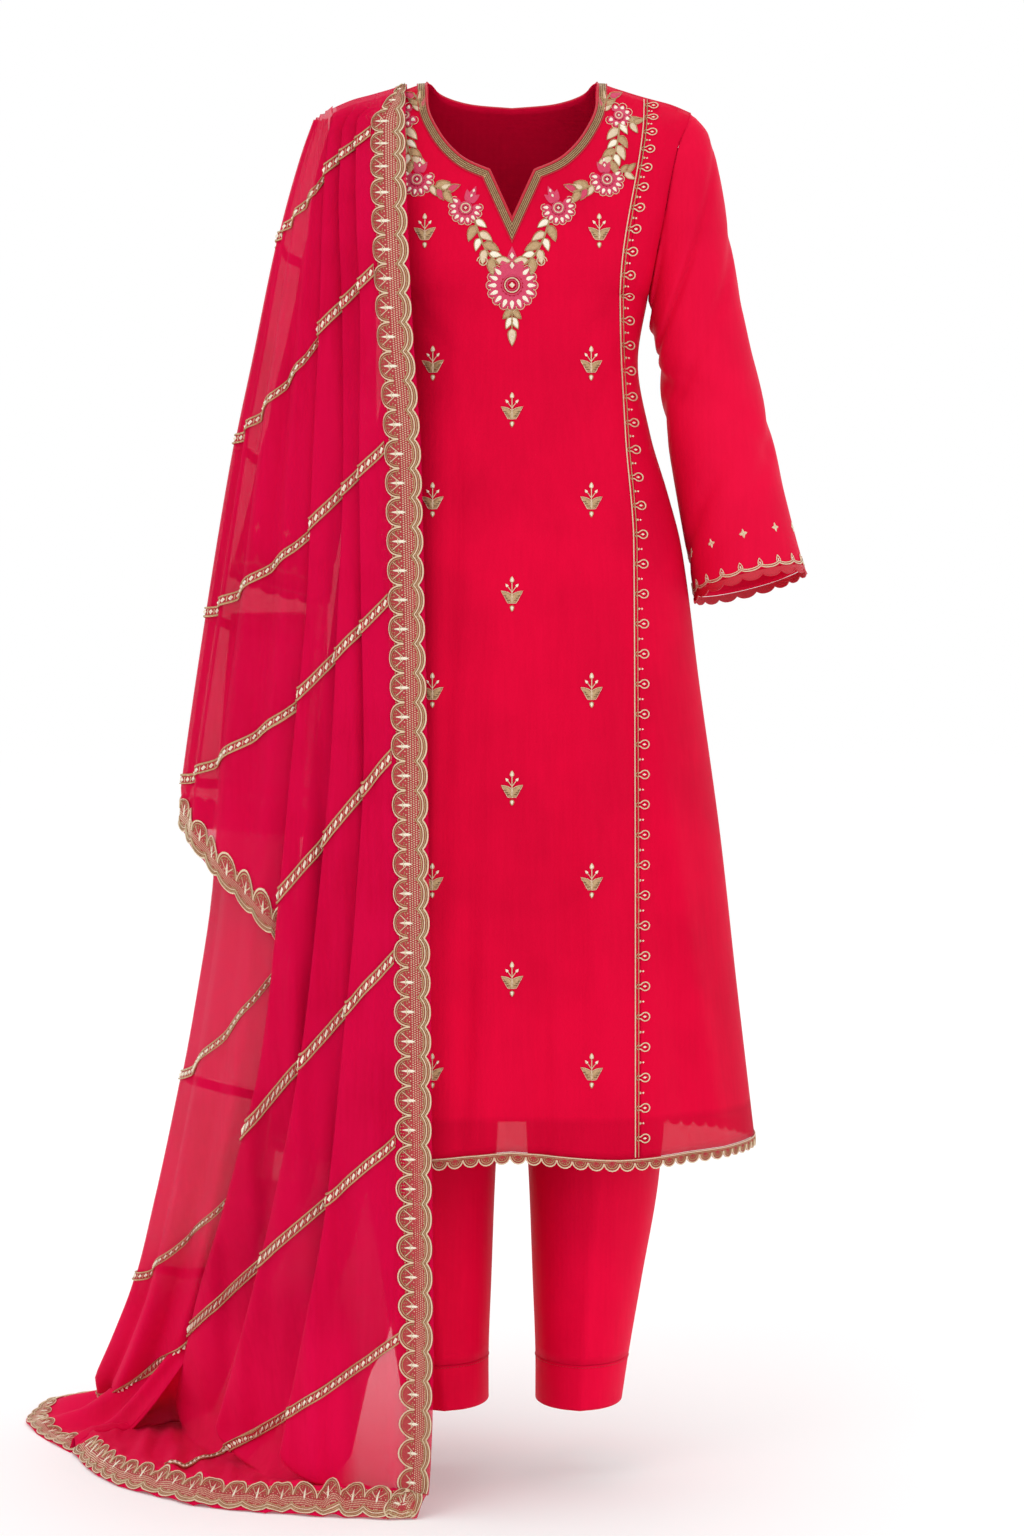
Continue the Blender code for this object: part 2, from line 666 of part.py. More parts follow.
def fall_plan(height):
    """The front fall seen from above at a height: border, three faces and the tucks between them."""
    def place(name):
        return np.array([fall(height, name), fall(height, name + "_y")])

    tuck, gap = fall(height, "tuck"), fall(height, "gap")
    start = place("border")
    plan = [start]
    for name in ("third", "second", "first"):
        edge = place(name)
        back = (start - edge) / np.linalg.norm(start - edge)
        inward = np.array([-back[1], back[0]])
        if name == "third":
            plan.append(start - back * min(LACE_WIDTH, LACE_MOST * np.linalg.norm(start - edge)))
        plan.append((plan[-1] + edge) / 2)
        under = edge + back * tuck + inward * gap
        start = under + inward * gap
        plan += [edge, edge + inward * gap, under, start]
    return np.array(plan[:-1])


def floor_point(share):
    """Where a column of the front fall lands and where it ends at the hem."""
    def at(name):
        return float(curve(FOOT["share"], FOOT[name], share))

    return np.array([at("foot_x"), at("foot_y")]), np.array([at("hem_x"), at("hem_y")])


def fall_point(column, way):
    """A point of the front fall; way is its height, or below the foot its way along the floor."""
    foot, hem = floor_point(FALL_SHARES[column])
    lowest = FALL["height"][-1]
    if way >= lowest:
        x, y = fall_plan(way)[column]
        return np.array([x, y, way])
    if way >= 0:
        share = way / lowest
        x, y = share * fall_plan(lowest)[column] + (1 - share) * foot
        return np.array([x, y, FOOT_HEIGHT + (lowest - FOOT_HEIGHT) * share])
    share = min(1.0, -way / np.linalg.norm(hem - foot))
    x, y = (1 - share) * foot + share * hem
    return np.array([x, y, FOOT_HEIGHT + (REST_HEIGHT - FOOT_HEIGHT) * share])


def fall_rows():
    """The rows of the front fall, top to hem, as the way of each column; and the first row of each tape."""
    columns = range(len(FALL_SHARES))
    lengths = [np.linalg.norm(np.subtract(*floor_point(FALL_SHARES[c]))) for c in columns]

    def slanted(border, first):
        reach = FALL_SHARES[13] - FALL_SHARES[1]
        return [border + (first - border) * max(FALL_SHARES[c] - FALL_SHARES[1], 0) / reach for c in columns]

    lace = [HEM_LACE - length for length in lengths]
    rows, tapes = [], []
    for border, first in zip(GOTA_FRONT["border"], GOTA_FRONT["first"]):
        if rows and len(tapes) not in PLAIN_STRETCHES:
            rows.append([(a + b) / 2 for a, b in zip(rows[-1], slanted(border, first))])
        tapes.append(len(rows))
        for drop in (0.0, GOTA_WIDTH):
            lowest = [way + 1.3 * GOTA_WIDTH - drop for way in lace]
            rows.append([max(way - drop, low) for way, low in zip(slanted(border, first), lowest)])
    rows += [lace, [-length for length in lengths]]
    return rows, tapes


def fall_grid():
    rows, tapes = fall_rows()
    grid = [[fall_point(c, way) for c, way in enumerate(row)] for row in rows]
    ridge, below = [], []
    for share, (x, y, height) in zip(FALL_SHARES, grid[0]):
        top_x = RIDGE_START + (RIDGE_END - RIDGE_START) * share
        top = float(shoulder(top_x)) + FALL_LIFT
        ridge.append((top_x, -RIDGE_HALF, top))
        drop = RIDGE_DOWN * (top - height)
        below.append(((top_x + x) / 2, RIDGE_FORWARD * y - RIDGE_BULGE, top - drop))
    grid = np.array([ridge, below] + [[tuple(point) for point in row] for row in grid])[:, ::-1]
    grid[:, :, 2] -= SHOULDER_HEIGHT
    return grid, [row + 2 for row in tapes]


def thick_outs(points):
    """The ways out of a folded grid, longer where it turns sharply, so that its wall keeps its thickness."""
    outs = grid_outs(points)
    along = points[:, 1:] - points[:, :-1]
    along[:, :, 2] = 0
    along /= np.maximum(np.linalg.norm(along, axis=2, keepdims=True), 1e-9)
    turn = np.sum(along[:, 1:] * along[:, :-1], axis=2, keepdims=True)
    outs[:, 1:-1] *= np.clip(np.sqrt(2 / np.maximum(1 + turn, 0.5)), 1, 1.42)
    return outs


def on_cloth(name, points, outs, rows, columns):
    """A tape or lace laid on a stretch of a cloth's own points, a little short of its neighbour."""
    part = (slice(*rows), slice(*columns))
    place = points[part].copy()
    along = place[:, -2] - place[:, -1]
    place[:, -1] += along * TRIM / np.linalg.norm(along, axis=1)[:, None]
    return panel(name, place, outs[part], TAPE, gold(), lift=LIFT + TAPE)


def build_fall():
    points, tapes = fall_grid()
    outs = thick_outs(points)
    panel("dupatta_front", points, outs, SHEER, sheer())
    last, columns = points.shape[:2]
    on_cloth("dupatta_edge_lace", points, outs, (0, last), (columns - 2, columns))
    for number, row in enumerate(tapes, 1):
        start = LAST_TAPE_START if number == len(tapes) else 0
        on_cloth(f"gota_front_{number}", points, outs, (row, row + 2), (start, columns - 1))
    on_cloth("dupatta_hem_lace", points, outs, (last - 2, last), (0, columns - 1))


# The cape over the sleeve and the layer below it: how far each reaches outside the arm and behind it.
CAPE = table(
    "height out out_y back back_y",
    (1.4000, -0.194, 0.000, -0.186, 0.014),
    (1.3510, -0.2120, 0.004, -0.185, 0.064),
    (1.2600, -0.2370, 0.004, -0.172, 0.074),
    (1.1400, -0.2615, 0.004, -0.166, 0.080),
    (1.0680, -0.2765, 0.004, -0.168, 0.088),
    (0.8880, -0.3070, 0.006, -0.178, 0.118),
    (0.7090, -0.3340, 0.008, -0.190, 0.132),
    (0.5000, -0.3600, 0.010, -0.200, 0.142),
)
CAPE_ROWS = table(
    "first out back",
    (1.4010, 1.4040, 1.4030),
    (1.3650, 1.3560, 1.3450),
    (1.3340, 1.2690, 1.2300),
    (1.3245, 1.2595, 1.2205),
    (1.2500, 1.1600, 1.1200),
    (1.1740, 1.0640, 1.0200),
    (1.1645, 1.0545, 1.0105),
    (1.0700, 0.9700, 0.9300),
    (0.9780, 0.8890, 0.8500),
    (0.9685, 0.8795, 0.8405),
    (0.8090, 0.7190, 0.6950),
    (0.7995, 0.7095, 0.6855),
    (0.5850, 0.7000, 0.6750),
    (0.5450, 0.6680, 0.6430),
)
CAPE_TAPES = (2, 5, 8, 10)
LOWER = table(
    "height out out_y back back_y",
    (0.9300, -0.282, 0.000, -0.205, 0.090),
    (0.7500, -0.297, 0.010, -0.208, 0.112),
    (0.6100, -0.306, 0.030, -0.212, 0.130),
    (0.4790, -0.326, 0.040, -0.220, 0.150),
    (0.3710, -0.347, 0.050, -0.230, 0.165),
    (0.2785, -0.367, 0.060, -0.240, 0.175),
    (0.1815, -0.392, 0.100, -0.262, 0.200),
    (0.1100, -0.420, 0.160, -0.290, 0.240),
    (0.0500, -0.447, 0.230, -0.320, 0.280),
)
LOWER_ROWS = table(
    "first out back",
    (0.8850, 0.8850, 0.8850),
    (0.7400, 0.6600, 0.6000),
    (0.5500, 0.4100, 0.3600),
    (0.5405, 0.4005, 0.3505),
    (0.4300, 0.2900, 0.2500),
    (0.3290, 0.1890, 0.1700),
    (0.3195, 0.1795, 0.1605),
    (0.2400, 0.0900, 0.0850),
    (0.1720, 0.0200, 0.0200),
    (0.1625, 0.0100, 0.0100),
)
LOWER_TAPES = (2, 5, 8)
ARC_TURNS = (0, 22, 44, 66, 90, 116, 145, 172)
TRAIN = table(
    "turn foot_x foot_y hem_x hem_y",
    (0, -0.370, 0.156, -0.4645, 0.0695),
    (22, -0.395, 0.185, -0.4900, 0.1150),
    (44, -0.418, 0.215, -0.5150, 0.1700),
    (66, -0.440, 0.245, -0.5300, 0.2300),
    (90, -0.448, 0.275, -0.5150, 0.3150),
    (116, -0.425, 0.300, -0.4750, 0.3600),
    (145, -0.385, 0.310, -0.4200, 0.3700),
    (172, -0.340, 0.300, -0.3650, 0.3600),
)


def arc_place(plan, height, turn, tucked, deep):
    """A place on the arc that runs from behind the first pleat, round the outline, to the back."""
    def at(name):
        return float(curve(plan["height"], plan[name], height))

    pleat = fall_plan(min(height, 1.39))
    edge, under = pleat[13], pleat[15]
    inward = (pleat[14] - edge) / np.linalg.norm(pleat[14] - edge)
    start = edge + (under - pleat[14]) * tucked + inward * fall(min(height, 1.39), "gap") * deep
    out, back = np.array([at("out"), at("out_y")]), np.array([at("back"), at("back_y")])
    angle = math.radians(turn)
    if turn <= 90:
        share = np.array([math.sin(angle), 1 - math.cos(angle)])
        return start + (out - start) * share
    share = np.array([1 - math.sin(angle), -math.cos(angle)])
    return out + (back - out) * share


def row_way(rows, row, turn):
    first, out, back = rows["first"][row], rows["out"][row], rows["back"][row]
    if turn <= 90:
        return first + (out - first) * math.sin(math.radians(turn))
    return out + (back - out) * (turn - 90) / 90


def build_cape():
    grid = []
    for row in range(len(CAPE_ROWS["first"])):
        ways = [row_way(CAPE_ROWS, row, turn) for turn in ARC_TURNS]
        tucked = -0.7 if row < 2 else 0.5
        grid.append([(*arc_place(CAPE, way, turn, tucked, 2.0), way) for turn, way in zip(ARC_TURNS, ways)])
    points = np.array(grid)[:, ::-1]
    points[:, :, 2] -= SHOULDER_HEIGHT
    outs = grid_outs(points)
    panel("dupatta_cape", points, outs, SHEER, sheer())
    last, columns = points.shape[:2]
    for number, row in enumerate(CAPE_TAPES, 1):
        on_cloth(f"gota_cape_{number}", points, outs, (row, row + 2), (0, columns))
    on_cloth("dupatta_cape_lace", points, outs, (last - 2, last), (0, columns))


def build_lower():
    grid = []
    for row in range(len(LOWER_ROWS["first"])):
        line = []
        for turn in ARC_TURNS:
            way = row_way(LOWER_ROWS, row, turn)
            lowest = LOWER["height"][-1]
            place = arc_place(LOWER, max(way, lowest), turn, 0.3, 3.8)
            if way < lowest:
                share = 1 - way / lowest
                foot = np.array([curve(TRAIN["turn"], TRAIN[n], turn) for n in ("foot_x", "foot_y")])
                place = (1 - share) * place + share * foot
                way = lowest + (FOOT_HEIGHT - lowest) * share
            line.append((*place, way))
        grid.append(line)
    for share in (0.5, 0.75, 1.0):
        line = []
        for turn in ARC_TURNS:
            foot = np.array([curve(TRAIN["turn"], TRAIN[n], turn) for n in ("foot_x", "foot_y")])
            hem = np.array([curve(TRAIN["turn"], TRAIN[n], turn) for n in ("hem_x", "hem_y")])
            place = (1 - share) * foot + share * hem
            line.append((*place, FOOT_HEIGHT + (REST_HEIGHT - FOOT_HEIGHT) * share))
        grid.append(line)
    points = np.array(grid)[:, ::-1]
    points[:, :, 2] -= SHOULDER_HEIGHT
    outs = grid_outs(points)
    panel("dupatta_lower", points, outs, SHEER, sheer())
    last, columns = points.shape[:2]
    for number, row in enumerate(LOWER_TAPES, 5):
        on_cloth(f"gota_lower_{number}", points, outs, (row, row + 2), (0, columns))
    on_cloth("dupatta_train_lace", points, outs, (last - 2, last), (0, columns))


BACK_FALL = table(
    "height inner inner_y outer outer_y",
    (1.3900, -0.107, 0.042, -0.178, 0.022),
    (1.3000, -0.104, 0.098, -0.180, 0.086),
    (1.1500, -0.098, 0.108, -0.184, 0.098),
    (1.0000, -0.094, 0.134, -0.192, 0.118),
    (0.8500, -0.090, 0.156, -0.202, 0.142),
    (0.7000, -0.086, 0.170, -0.214, 0.158),
    (0.6500, -0.085, 0.173, -0.218, 0.160),
)
BACK_ROWS = (1.375, 1.340, 1.300, 1.230, 1.120, 1.000, 0.850, 0.690, 0.655)
BACK_FOLDS = (0.0, 0.000, 0.004, -0.003, 0.004, -0.003, 0.003, 0.0)


def build_back():
    """The plain rear end, which hangs behind the shoulder in shallow folds."""
    shares = np.linspace(0, 1, len(BACK_FOLDS))
    shares[1] = 0.2
    grid = []
    for height in BACK_ROWS:
        def at(name):
            return float(curve(BACK_FALL["height"], BACK_FALL[name], height))

        x = at("inner") + (at("outer") - at("inner")) * shares
        y = at("inner_y") + (at("outer_y") - at("inner_y")) * shares**1.5
        y = y + np.array(BACK_FOLDS) * ease((1.36 - height) / 0.3)
        grid.append(np.stack([x, y, np.full(len(x), height)], axis=1))
    ridge, below = [], []
    for x, y, height in grid[0]:
        top = float(shoulder(x)) + FALL_LIFT
        ridge.append((x, RIDGE_HALF, top))
        below.append((x, 0.55 * y + RIDGE_BULGE, (top + height) / 2 + 0.004))
    points = np.array([ridge, below] + [row.tolist() for row in grid])
    points[:, :, 2] -= SHOULDER_HEIGHT
    outs = grid_outs(points)
    panel("dupatta_back", points, outs, SHEER, sheer())
    last, columns = points.shape[:2]
    on_cloth("dupatta_back_edge_lace", points, outs, (0, last), (0, 2))
    on_cloth("dupatta_back_hem_lace", points, outs, (last - 2, last), (1, columns))


def build_dupatta():
    build_fall()
    build_cape()
    build_lower()
    build_back()


def clear_scene():
    for obj in list(bpy.data.objects):
        bpy.data.objects.remove(obj, do_unlink=True)


def main():
    clear_scene()
    build_kameez()
    build_sleeve("right", mirror=False)
    build_sleeve("left", mirror=True)
    build_trousers()
    build_dupatta()


main()
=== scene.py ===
"""The finished look of the crimson salwar kameez suit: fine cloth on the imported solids' own forms, with its
folds, lining, braids, lace, gota tapes and embroidery. Metres, +Z up, the front faces -Y; heights in the
tables are measured from the floor, and right is +X, as seen from the front."""

import math

import bmesh
import bpy
import numpy as np
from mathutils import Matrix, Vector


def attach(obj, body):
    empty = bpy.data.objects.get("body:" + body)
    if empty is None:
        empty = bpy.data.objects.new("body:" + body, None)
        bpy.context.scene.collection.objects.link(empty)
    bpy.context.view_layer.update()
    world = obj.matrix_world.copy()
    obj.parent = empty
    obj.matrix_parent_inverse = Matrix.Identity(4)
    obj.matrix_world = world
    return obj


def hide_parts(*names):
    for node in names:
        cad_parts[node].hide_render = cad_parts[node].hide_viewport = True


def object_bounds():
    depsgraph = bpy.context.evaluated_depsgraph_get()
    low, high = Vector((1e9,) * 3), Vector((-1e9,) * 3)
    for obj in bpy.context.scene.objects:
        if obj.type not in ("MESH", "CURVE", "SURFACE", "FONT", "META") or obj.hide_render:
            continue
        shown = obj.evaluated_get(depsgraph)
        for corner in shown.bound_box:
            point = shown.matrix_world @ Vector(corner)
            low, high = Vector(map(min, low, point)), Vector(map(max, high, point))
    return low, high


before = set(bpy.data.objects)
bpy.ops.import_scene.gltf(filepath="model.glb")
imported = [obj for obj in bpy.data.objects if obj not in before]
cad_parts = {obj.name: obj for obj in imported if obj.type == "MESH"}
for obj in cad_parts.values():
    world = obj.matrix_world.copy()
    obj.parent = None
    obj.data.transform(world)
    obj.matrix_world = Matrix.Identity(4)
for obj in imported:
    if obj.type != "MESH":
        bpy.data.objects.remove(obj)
cad_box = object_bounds()

# The height of the shared frame's origin, the two cloths' thickness, and how far cloth lies off a solid.
SHOULDER_HEIGHT = 1.4218
CLOTH, SHEER = 0.0011, 0.0007
SEAM = 0.0002

# Camera and light
CAMERA_DISTANCE, CAMERA_HEIGHT, CAMERA_LENS, CAMERA_TILT = 4.0, 0.950, 91.8, 3.22
WORLD_LIGHT, KEY_LIGHT, FILL_LIGHT, BACK_LIGHT = 1.0, 26.0, 8.0, 14.0
FLOOR_REACH = 14.0


def table(columns, *rows):
    """A table as a dict of its columns, each a list."""
    return {name: [row[i] for row in rows] for i, name in enumerate(columns.split())}


def curve(xs, ys, x):
    """The smooth line through (xs, ys) that never swings past its points; ys may be a list of points."""
    xs, ys, x = np.asarray(xs, float), np.asarray(ys, float), np.asarray(x, float)
    if xs[0] > xs[-1]:
        xs, ys = xs[::-1], ys[::-1]
    more = (Ellipsis,) + (None,) * (ys.ndim - 1)
    gaps = np.diff(xs)
    slope = np.diff(ys, axis=0) / gaps[more]
    product, total = slope[:-1] * slope[1:], slope[:-1] + slope[1:]
    bends = product > 0
    middle = np.where(bends, 2 * product / np.where(bends, total, 1), 0)
    tangent = np.concatenate([slope[:1], middle, slope[-1:]])
    x = np.clip(x, xs[0], xs[-1])
    i = np.clip(np.searchsorted(xs, x, side="right") - 1, 0, len(xs) - 2)
    f, gap = ((x - xs[i]) / gaps[i])[more], gaps[i][more]
    rise = ys[i + 1] - ys[i]
    start, end = tangent[i] * gap, tangent[i + 1] * gap
    return ys[i] + f * start + f * f * (3 * rise - 2 * start - end) + f**3 * (start + end - 2 * rise)


def ease(x):
    """A smooth step from 0 to 1."""
    x = np.clip(x, 0, 1)
    return x * x * (3 - 2 * x)


def spread(knots, counts):
    """Values that run through the knots with so many steps in each span."""
    parts = [np.linspace(a, b, n, endpoint=False) for a, b, n in zip(knots, knots[1:], counts)]
    return np.append(np.concatenate(parts), knots[-1])


# ---------------------------------------------------------------- camera, light and floor


def build_stage():
    """The camera, the white studio and its floor, at the lowest height of the CAD."""
    floor_height = cad_box_low()
    camera = bpy.data.cameras.new("camera")
    camera.sensor_fit = "VERTICAL"
    camera.sensor_height = 36
    camera.lens = CAMERA_LENS
    holder = bpy.data.objects.new("camera", camera)
    holder.location = (0, -CAMERA_DISTANCE, floor_height + CAMERA_HEIGHT)
    holder.rotation_euler = (math.radians(90 - CAMERA_TILT), 0, 0)
    bpy.context.scene.collection.objects.link(holder)
    bpy.context.scene.camera = holder
    scene = bpy.context.scene
    scene.view_settings.view_transform = "Standard"
    scene.cycles.transparent_max_bounces = 40
    world = bpy.data.worlds.new("studio")
    world.use_nodes = True
    background = world.node_tree.nodes["Background"]
    background.inputs["Color"].default_value = (1, 1, 1, 1)
    background.inputs["Strength"].default_value = WORLD_LIGHT
    scene.world = world
    soft_light("key", (-1.6, -3.0, 3.0), (0, 0, -0.4), 2.2, KEY_LIGHT)
    soft_light("fill", (2.6, -2.6, 1.2), (0, 0, -0.6), 2.4, FILL_LIGHT)
    soft_light("back", (0.8, 3.0, 2.6), (0, 0, -0.5), 2.4, BACK_LIGHT)
    build_floor(floor_height)


def cad_box_low():
    """The lowest height of the CAD."""
    return float(np.asarray(cad_box, float).reshape(2, 3)[0][2])


def soft_light(name, place, target, size, power):
    """A square light that faces its target."""
    light = bpy.data.lights.new(name, "AREA")
    light.energy = power
    light.size = size
    holder = bpy.data.objects.new(name, light)
    holder.location = place
    way = np.subtract(target, place)
    holder.rotation_euler = (
        math.atan2(math.hypot(way[0], way[1]), -way[2]),
        0,
        math.atan2(-way[0], way[1]),
    )
    bpy.context.scene.collection.objects.link(holder)


def build_floor(height):
    """A pale floor, which belongs to the stage only."""
    mesh = bpy.data.meshes.new("floor")
    signs = ((-1, -1), (1, -1), (1, 1), (-1, 1))
    corners = [(x * FLOOR_REACH, y * FLOOR_REACH, height) for x, y in signs]
    mesh.from_pydata(corners, [], [(0, 1, 2, 3)])
    floor = bpy.data.objects.new("floor", mesh)
    bpy.context.scene.collection.objects.link(floor)
    paint = bpy.data.materials.new("studio_floor")
    paint.use_nodes = True
    shader = paint.node_tree.nodes["Principled BSDF"]
    shader.inputs["Base Color"].default_value = (0.90, 0.90, 0.90, 1)
    shader.inputs["Roughness"].default_value = 0.9
    shader.inputs["Specular IOR Level"].default_value = 0.0
    shader.inputs["Emission Color"].default_value = (1, 1, 1, 1)
    shader.inputs["Emission Strength"].default_value = 0.10
    mesh.materials.append(paint)


# ---------------------------------------------------------------- materials

# Each cloth's colour and its deeper one.
SHEEN_TINT = (1.0, 0.10, 0.28)
CRIMSON = ((0.740, 0.0012, 0.037), (0.610, 0.0008, 0.029))
SLEEVE_CRIMSON = ((0.800, 0.0040, 0.046), (0.690, 0.0025, 0.037))
TROUSER_CRIMSON = ((0.840, 0.0015, 0.044), (0.730, 0.0010, 0.036))
LINING_CRIMSON = ((0.640, 0.0010, 0.032), (0.530, 0.0010, 0.024))
CHIFFON_CRIMSON = ((0.800, 0.0020, 0.066), (0.690, 0.0010, 0.047))
CHIFFON_ALPHA, HEM_ALPHA = 0.60, 0.80
# Near the floor the gauze lies gathered in many plies, away from its border: how dense it is there and where.
GATHERED_ALPHA, GATHERED_HEIGHT, GATHERED_ACROSS = 0.90, (0.24, 0.11), (-0.148, -0.174)

# Each thread's material: its name, colour and deeper colour, which is painted shade in the grooves of its
# twist, then metallic, roughness, ridges and bump.
THREADS = {
    "gold": ("gold_thread", (0.72, 0.50, 0.27), (0.36, 0.21, 0.09), 0.45, 0.42, 520.0, 0.5),
    "light": ("light_gold_thread", (0.93, 0.80, 0.60), (0.64, 0.46, 0.28), 0.30, 0.40, 520.0, 0.5),
    # The dark thread is the veins' antique gold, and also the painted shade in the neck band's gaps.
    "dark": ("antique_gold_and_gap_shade", (0.26, 0.12, 0.055), (0.12, 0.05, 0.02), 0.40, 0.45, 520.0, 0.5),
    "pearl": ("cream_bead", (0.95, 0.91, 0.79), (0.84, 0.74, 0.56), 0.0, 0.28, 260.0, 0.1),
    "pink": ("pink_thread", (0.78, 0.060, 0.160), (0.55, 0.020, 0.080), 0.0, 0.50, 480.0, 0.5),
    "red": ("red_thread", (0.70, 0.006, 0.030), (0.46, 0.004, 0.020), 0.0, 0.50, 480.0, 0.5),
    "net": ("lace_net", (0.62, 0.080, 0.075), (0.42, 0.015, 0.032), 0.15, 0.60, 700.0, 0.8),
}


def nodes_of(name):
    """A new material, its node tree and its shader."""
    made = bpy.data.materials.new(name)
    made.use_nodes = True
    tree = made.node_tree
    return made, tree, tree.nodes["Principled BSDF"]


def node(tree, kind, inputs=(), **settings):
    """A new node with its settings; each input is a value or the socket that it's linked to."""
    made = tree.nodes.new(kind)
    for key, value in settings.items():
        setattr(made, key, value)
    for key, value in dict(inputs).items():
        if hasattr(value, "is_linked"):
            tree.links.new(value, made.inputs[key])
        else:
            made.inputs[key].default_value = value
    return made


def dyed(tree, shader, value, *stops):
    """Colours the shader by a value that runs between two stops."""
    ramp = node(tree, "ShaderNodeValToRGB", {"Fac": value})
    for element, (position, color) in zip(ramp.color_ramp.elements, stops):
        element.position = position
        element.color = (*color, 1)
    tree.links.new(ramp.outputs["Color"], shader.inputs["Base Color"])


def mapped(tree, value, start, end, low=0.0, high=1.0, kind="LINEAR"):
    """The value mapped from one range to another."""
    ends = {"Value": value, "From Min": start, "From Max": end, "To Min": low, "To Max": high}
    return node(tree, "ShaderNodeMapRange", ends, interpolation_type=kind).outputs["Result"]


def cloth_material(name, color, deep, grain, bump, roughness, sheen, streak=0.25):
    """A fine plain weave: crossed threads in the bump, uneven dye and long soft streaks in the colour."""
    made, tree, shader = nodes_of(name)
    place = node(tree, "ShaderNodeTexCoord").outputs["Object"]
    dye = node(tree, "ShaderNodeTexNoise", {"Vector": place, "Scale": 9.0, "Detail": 3.0}).outputs["Fac"]
    long = node(tree, "ShaderNodeMapping", {"Vector": place, "Scale": (230.0, 230.0, 14.0)})
    slubs = {"Vector": long.outputs["Vector"], "Scale": 1.0, "Detail": 2.0}
    slub = node(tree, "ShaderNodeTexNoise", slubs).outputs["Fac"]
    mixed = node(tree, "ShaderNodeMath", {0: slub, 1: streak, 2: dye}, operation="MULTIPLY_ADD").outputs[0]
    dyed(tree, shader, mixed, (0.38, deep), (0.78, color))
    thread = {"Vector": place, "Scale": grain, "Distortion": 1.5}
    warp, weft = (node(tree, "ShaderNodeTexWave", thread, bands_direction=way).outputs["Fac"] for way in "ZX")
    weave = node(tree, "ShaderNodeMath", {0: warp, 1: weft}, operation="ADD").outputs[0]
    raised = node(tree, "ShaderNodeMath", {0: slub, 1: 0.8, 2: weave}, operation="MULTIPLY_ADD").outputs[0]
    relief = node(tree, "ShaderNodeBump", {"Height": raised, "Strength": bump, "Distance": 0.0004})
    tree.links.new(relief.outputs["Normal"], shader.inputs["Normal"])
    shader.inputs["Roughness"].default_value = roughness
    shader.inputs["Specular IOR Level"].default_value = 0.03
    shader.inputs["Sheen Weight"].default_value = sheen
    shader.inputs["Sheen Roughness"].default_value = 0.45
    shader.inputs["Sheen Tint"].default_value = (*SHEEN_TINT, 1)
    return made


def georgette_material():
    """Crimson georgette: opaque down to the lining's hem, as the lining backs it, and sheer below that."""
    made = cloth_material("crimson_georgette", *CRIMSON, 260.0, 0.35, 0.62, 0.05)
    tree = made.node_tree
    place = node(tree, "ShaderNodeTexCoord").outputs["Object"]
    height = node(tree, "ShaderNodeSeparateXYZ", {"Vector": place}).outputs["Z"]
    top = LINING_HEM - SHOULDER_HEIGHT
    alpha = mapped(tree, height, top - 0.001, top + 0.006, HEM_ALPHA, 1.0)
    tree.links.new(alpha, tree.nodes["Principled BSDF"].inputs["Alpha"])
    return made


def thread_material(name, color, deep, metallic, roughness, scale, bump):
    """Twisted thread: fine slanting ridges, with painted shade between them: the colour deepens in the
    grooves, and a random grain varies it.
    """
    made, tree, shader = nodes_of(name)
    place = node(tree, "ShaderNodeTexCoord").outputs["Object"]
    ridges = {"Vector": place, "Scale": scale, "Distortion": 3.0, "Detail": 2.0}
    twist = node(tree, "ShaderNodeTexWave", ridges, bands_direction="DIAGONAL")
    grain = node(tree, "ShaderNodeTexNoise", {"Vector": place, "Scale": 420.0, "Detail": 2.0}).outputs["Fac"]
    both = node(tree, "ShaderNodeMath", {0: twist.outputs["Fac"], 1: grain}, operation="MULTIPLY").outputs[0]
    # Painted shade: low in the twist's grooves the colour turns to its deeper one; the grain adds random
    # tone.
    dyed(tree, shader, both, (0.05, deep), (0.55, color))
    relief = node(tree, "ShaderNodeBump", {"Height": both, "Strength": bump, "Distance": 0.0005})
    tree.links.new(relief.outputs["Normal"], shader.inputs["Normal"])
    shader.inputs["Metallic"].default_value = metallic
    shader.inputs["Roughness"].default_value = roughness
    return made


def chiffon_material():
    """Sheer crimson gauze, denser where its plies lie gathered on the floor."""
    made = cloth_material("crimson_chiffon", *CHIFFON_CRIMSON, 300.0, 0.25, 0.65, 0.12, streak=0.45)
    tree = made.node_tree
    place = node(tree, "ShaderNodeTexCoord").outputs["Object"]
    parts = node(tree, "ShaderNodeSeparateXYZ", {"Vector": place}).outputs
    start, end = (height - SHOULDER_HEIGHT for height in GATHERED_HEIGHT)
    down = mapped(tree, parts["Z"], start, end, kind="SMOOTHSTEP")
    across = mapped(tree, parts["X"], *GATHERED_ACROSS, kind="SMOOTHSTEP")
    both = node(tree, "ShaderNodeMath", {0: down, 1: across}, operation="MULTIPLY").outputs[0]
    alpha = mapped(tree, both, 0.0, 1.0, CHIFFON_ALPHA, GATHERED_ALPHA)
    tree.links.new(alpha, tree.nodes["Principled BSDF"].inputs["Alpha"])
    return made


def build_materials():
    """Every material by its short name, which is also the name of a thread in a sketch."""
    return {
        "georgette": georgette_material(),
        "sleeve": cloth_material("crimson_sleeve", *SLEEVE_CRIMSON, 260.0, 0.30, 0.50, 0.10),
        "trouser": cloth_material("crimson_trouser_cloth", *TROUSER_CRIMSON, 240.0, 0.30, 0.55, 0.08),
        "lining": cloth_material("crimson_lining", *LINING_CRIMSON, 300.0, 0.20, 0.60, 0.05),
        "chiffon": chiffon_material(),
        **{short: thread_material(*values) for short, values in THREADS.items()},
    }


# ---------------------------------------------------------------- cloth as a fine grid


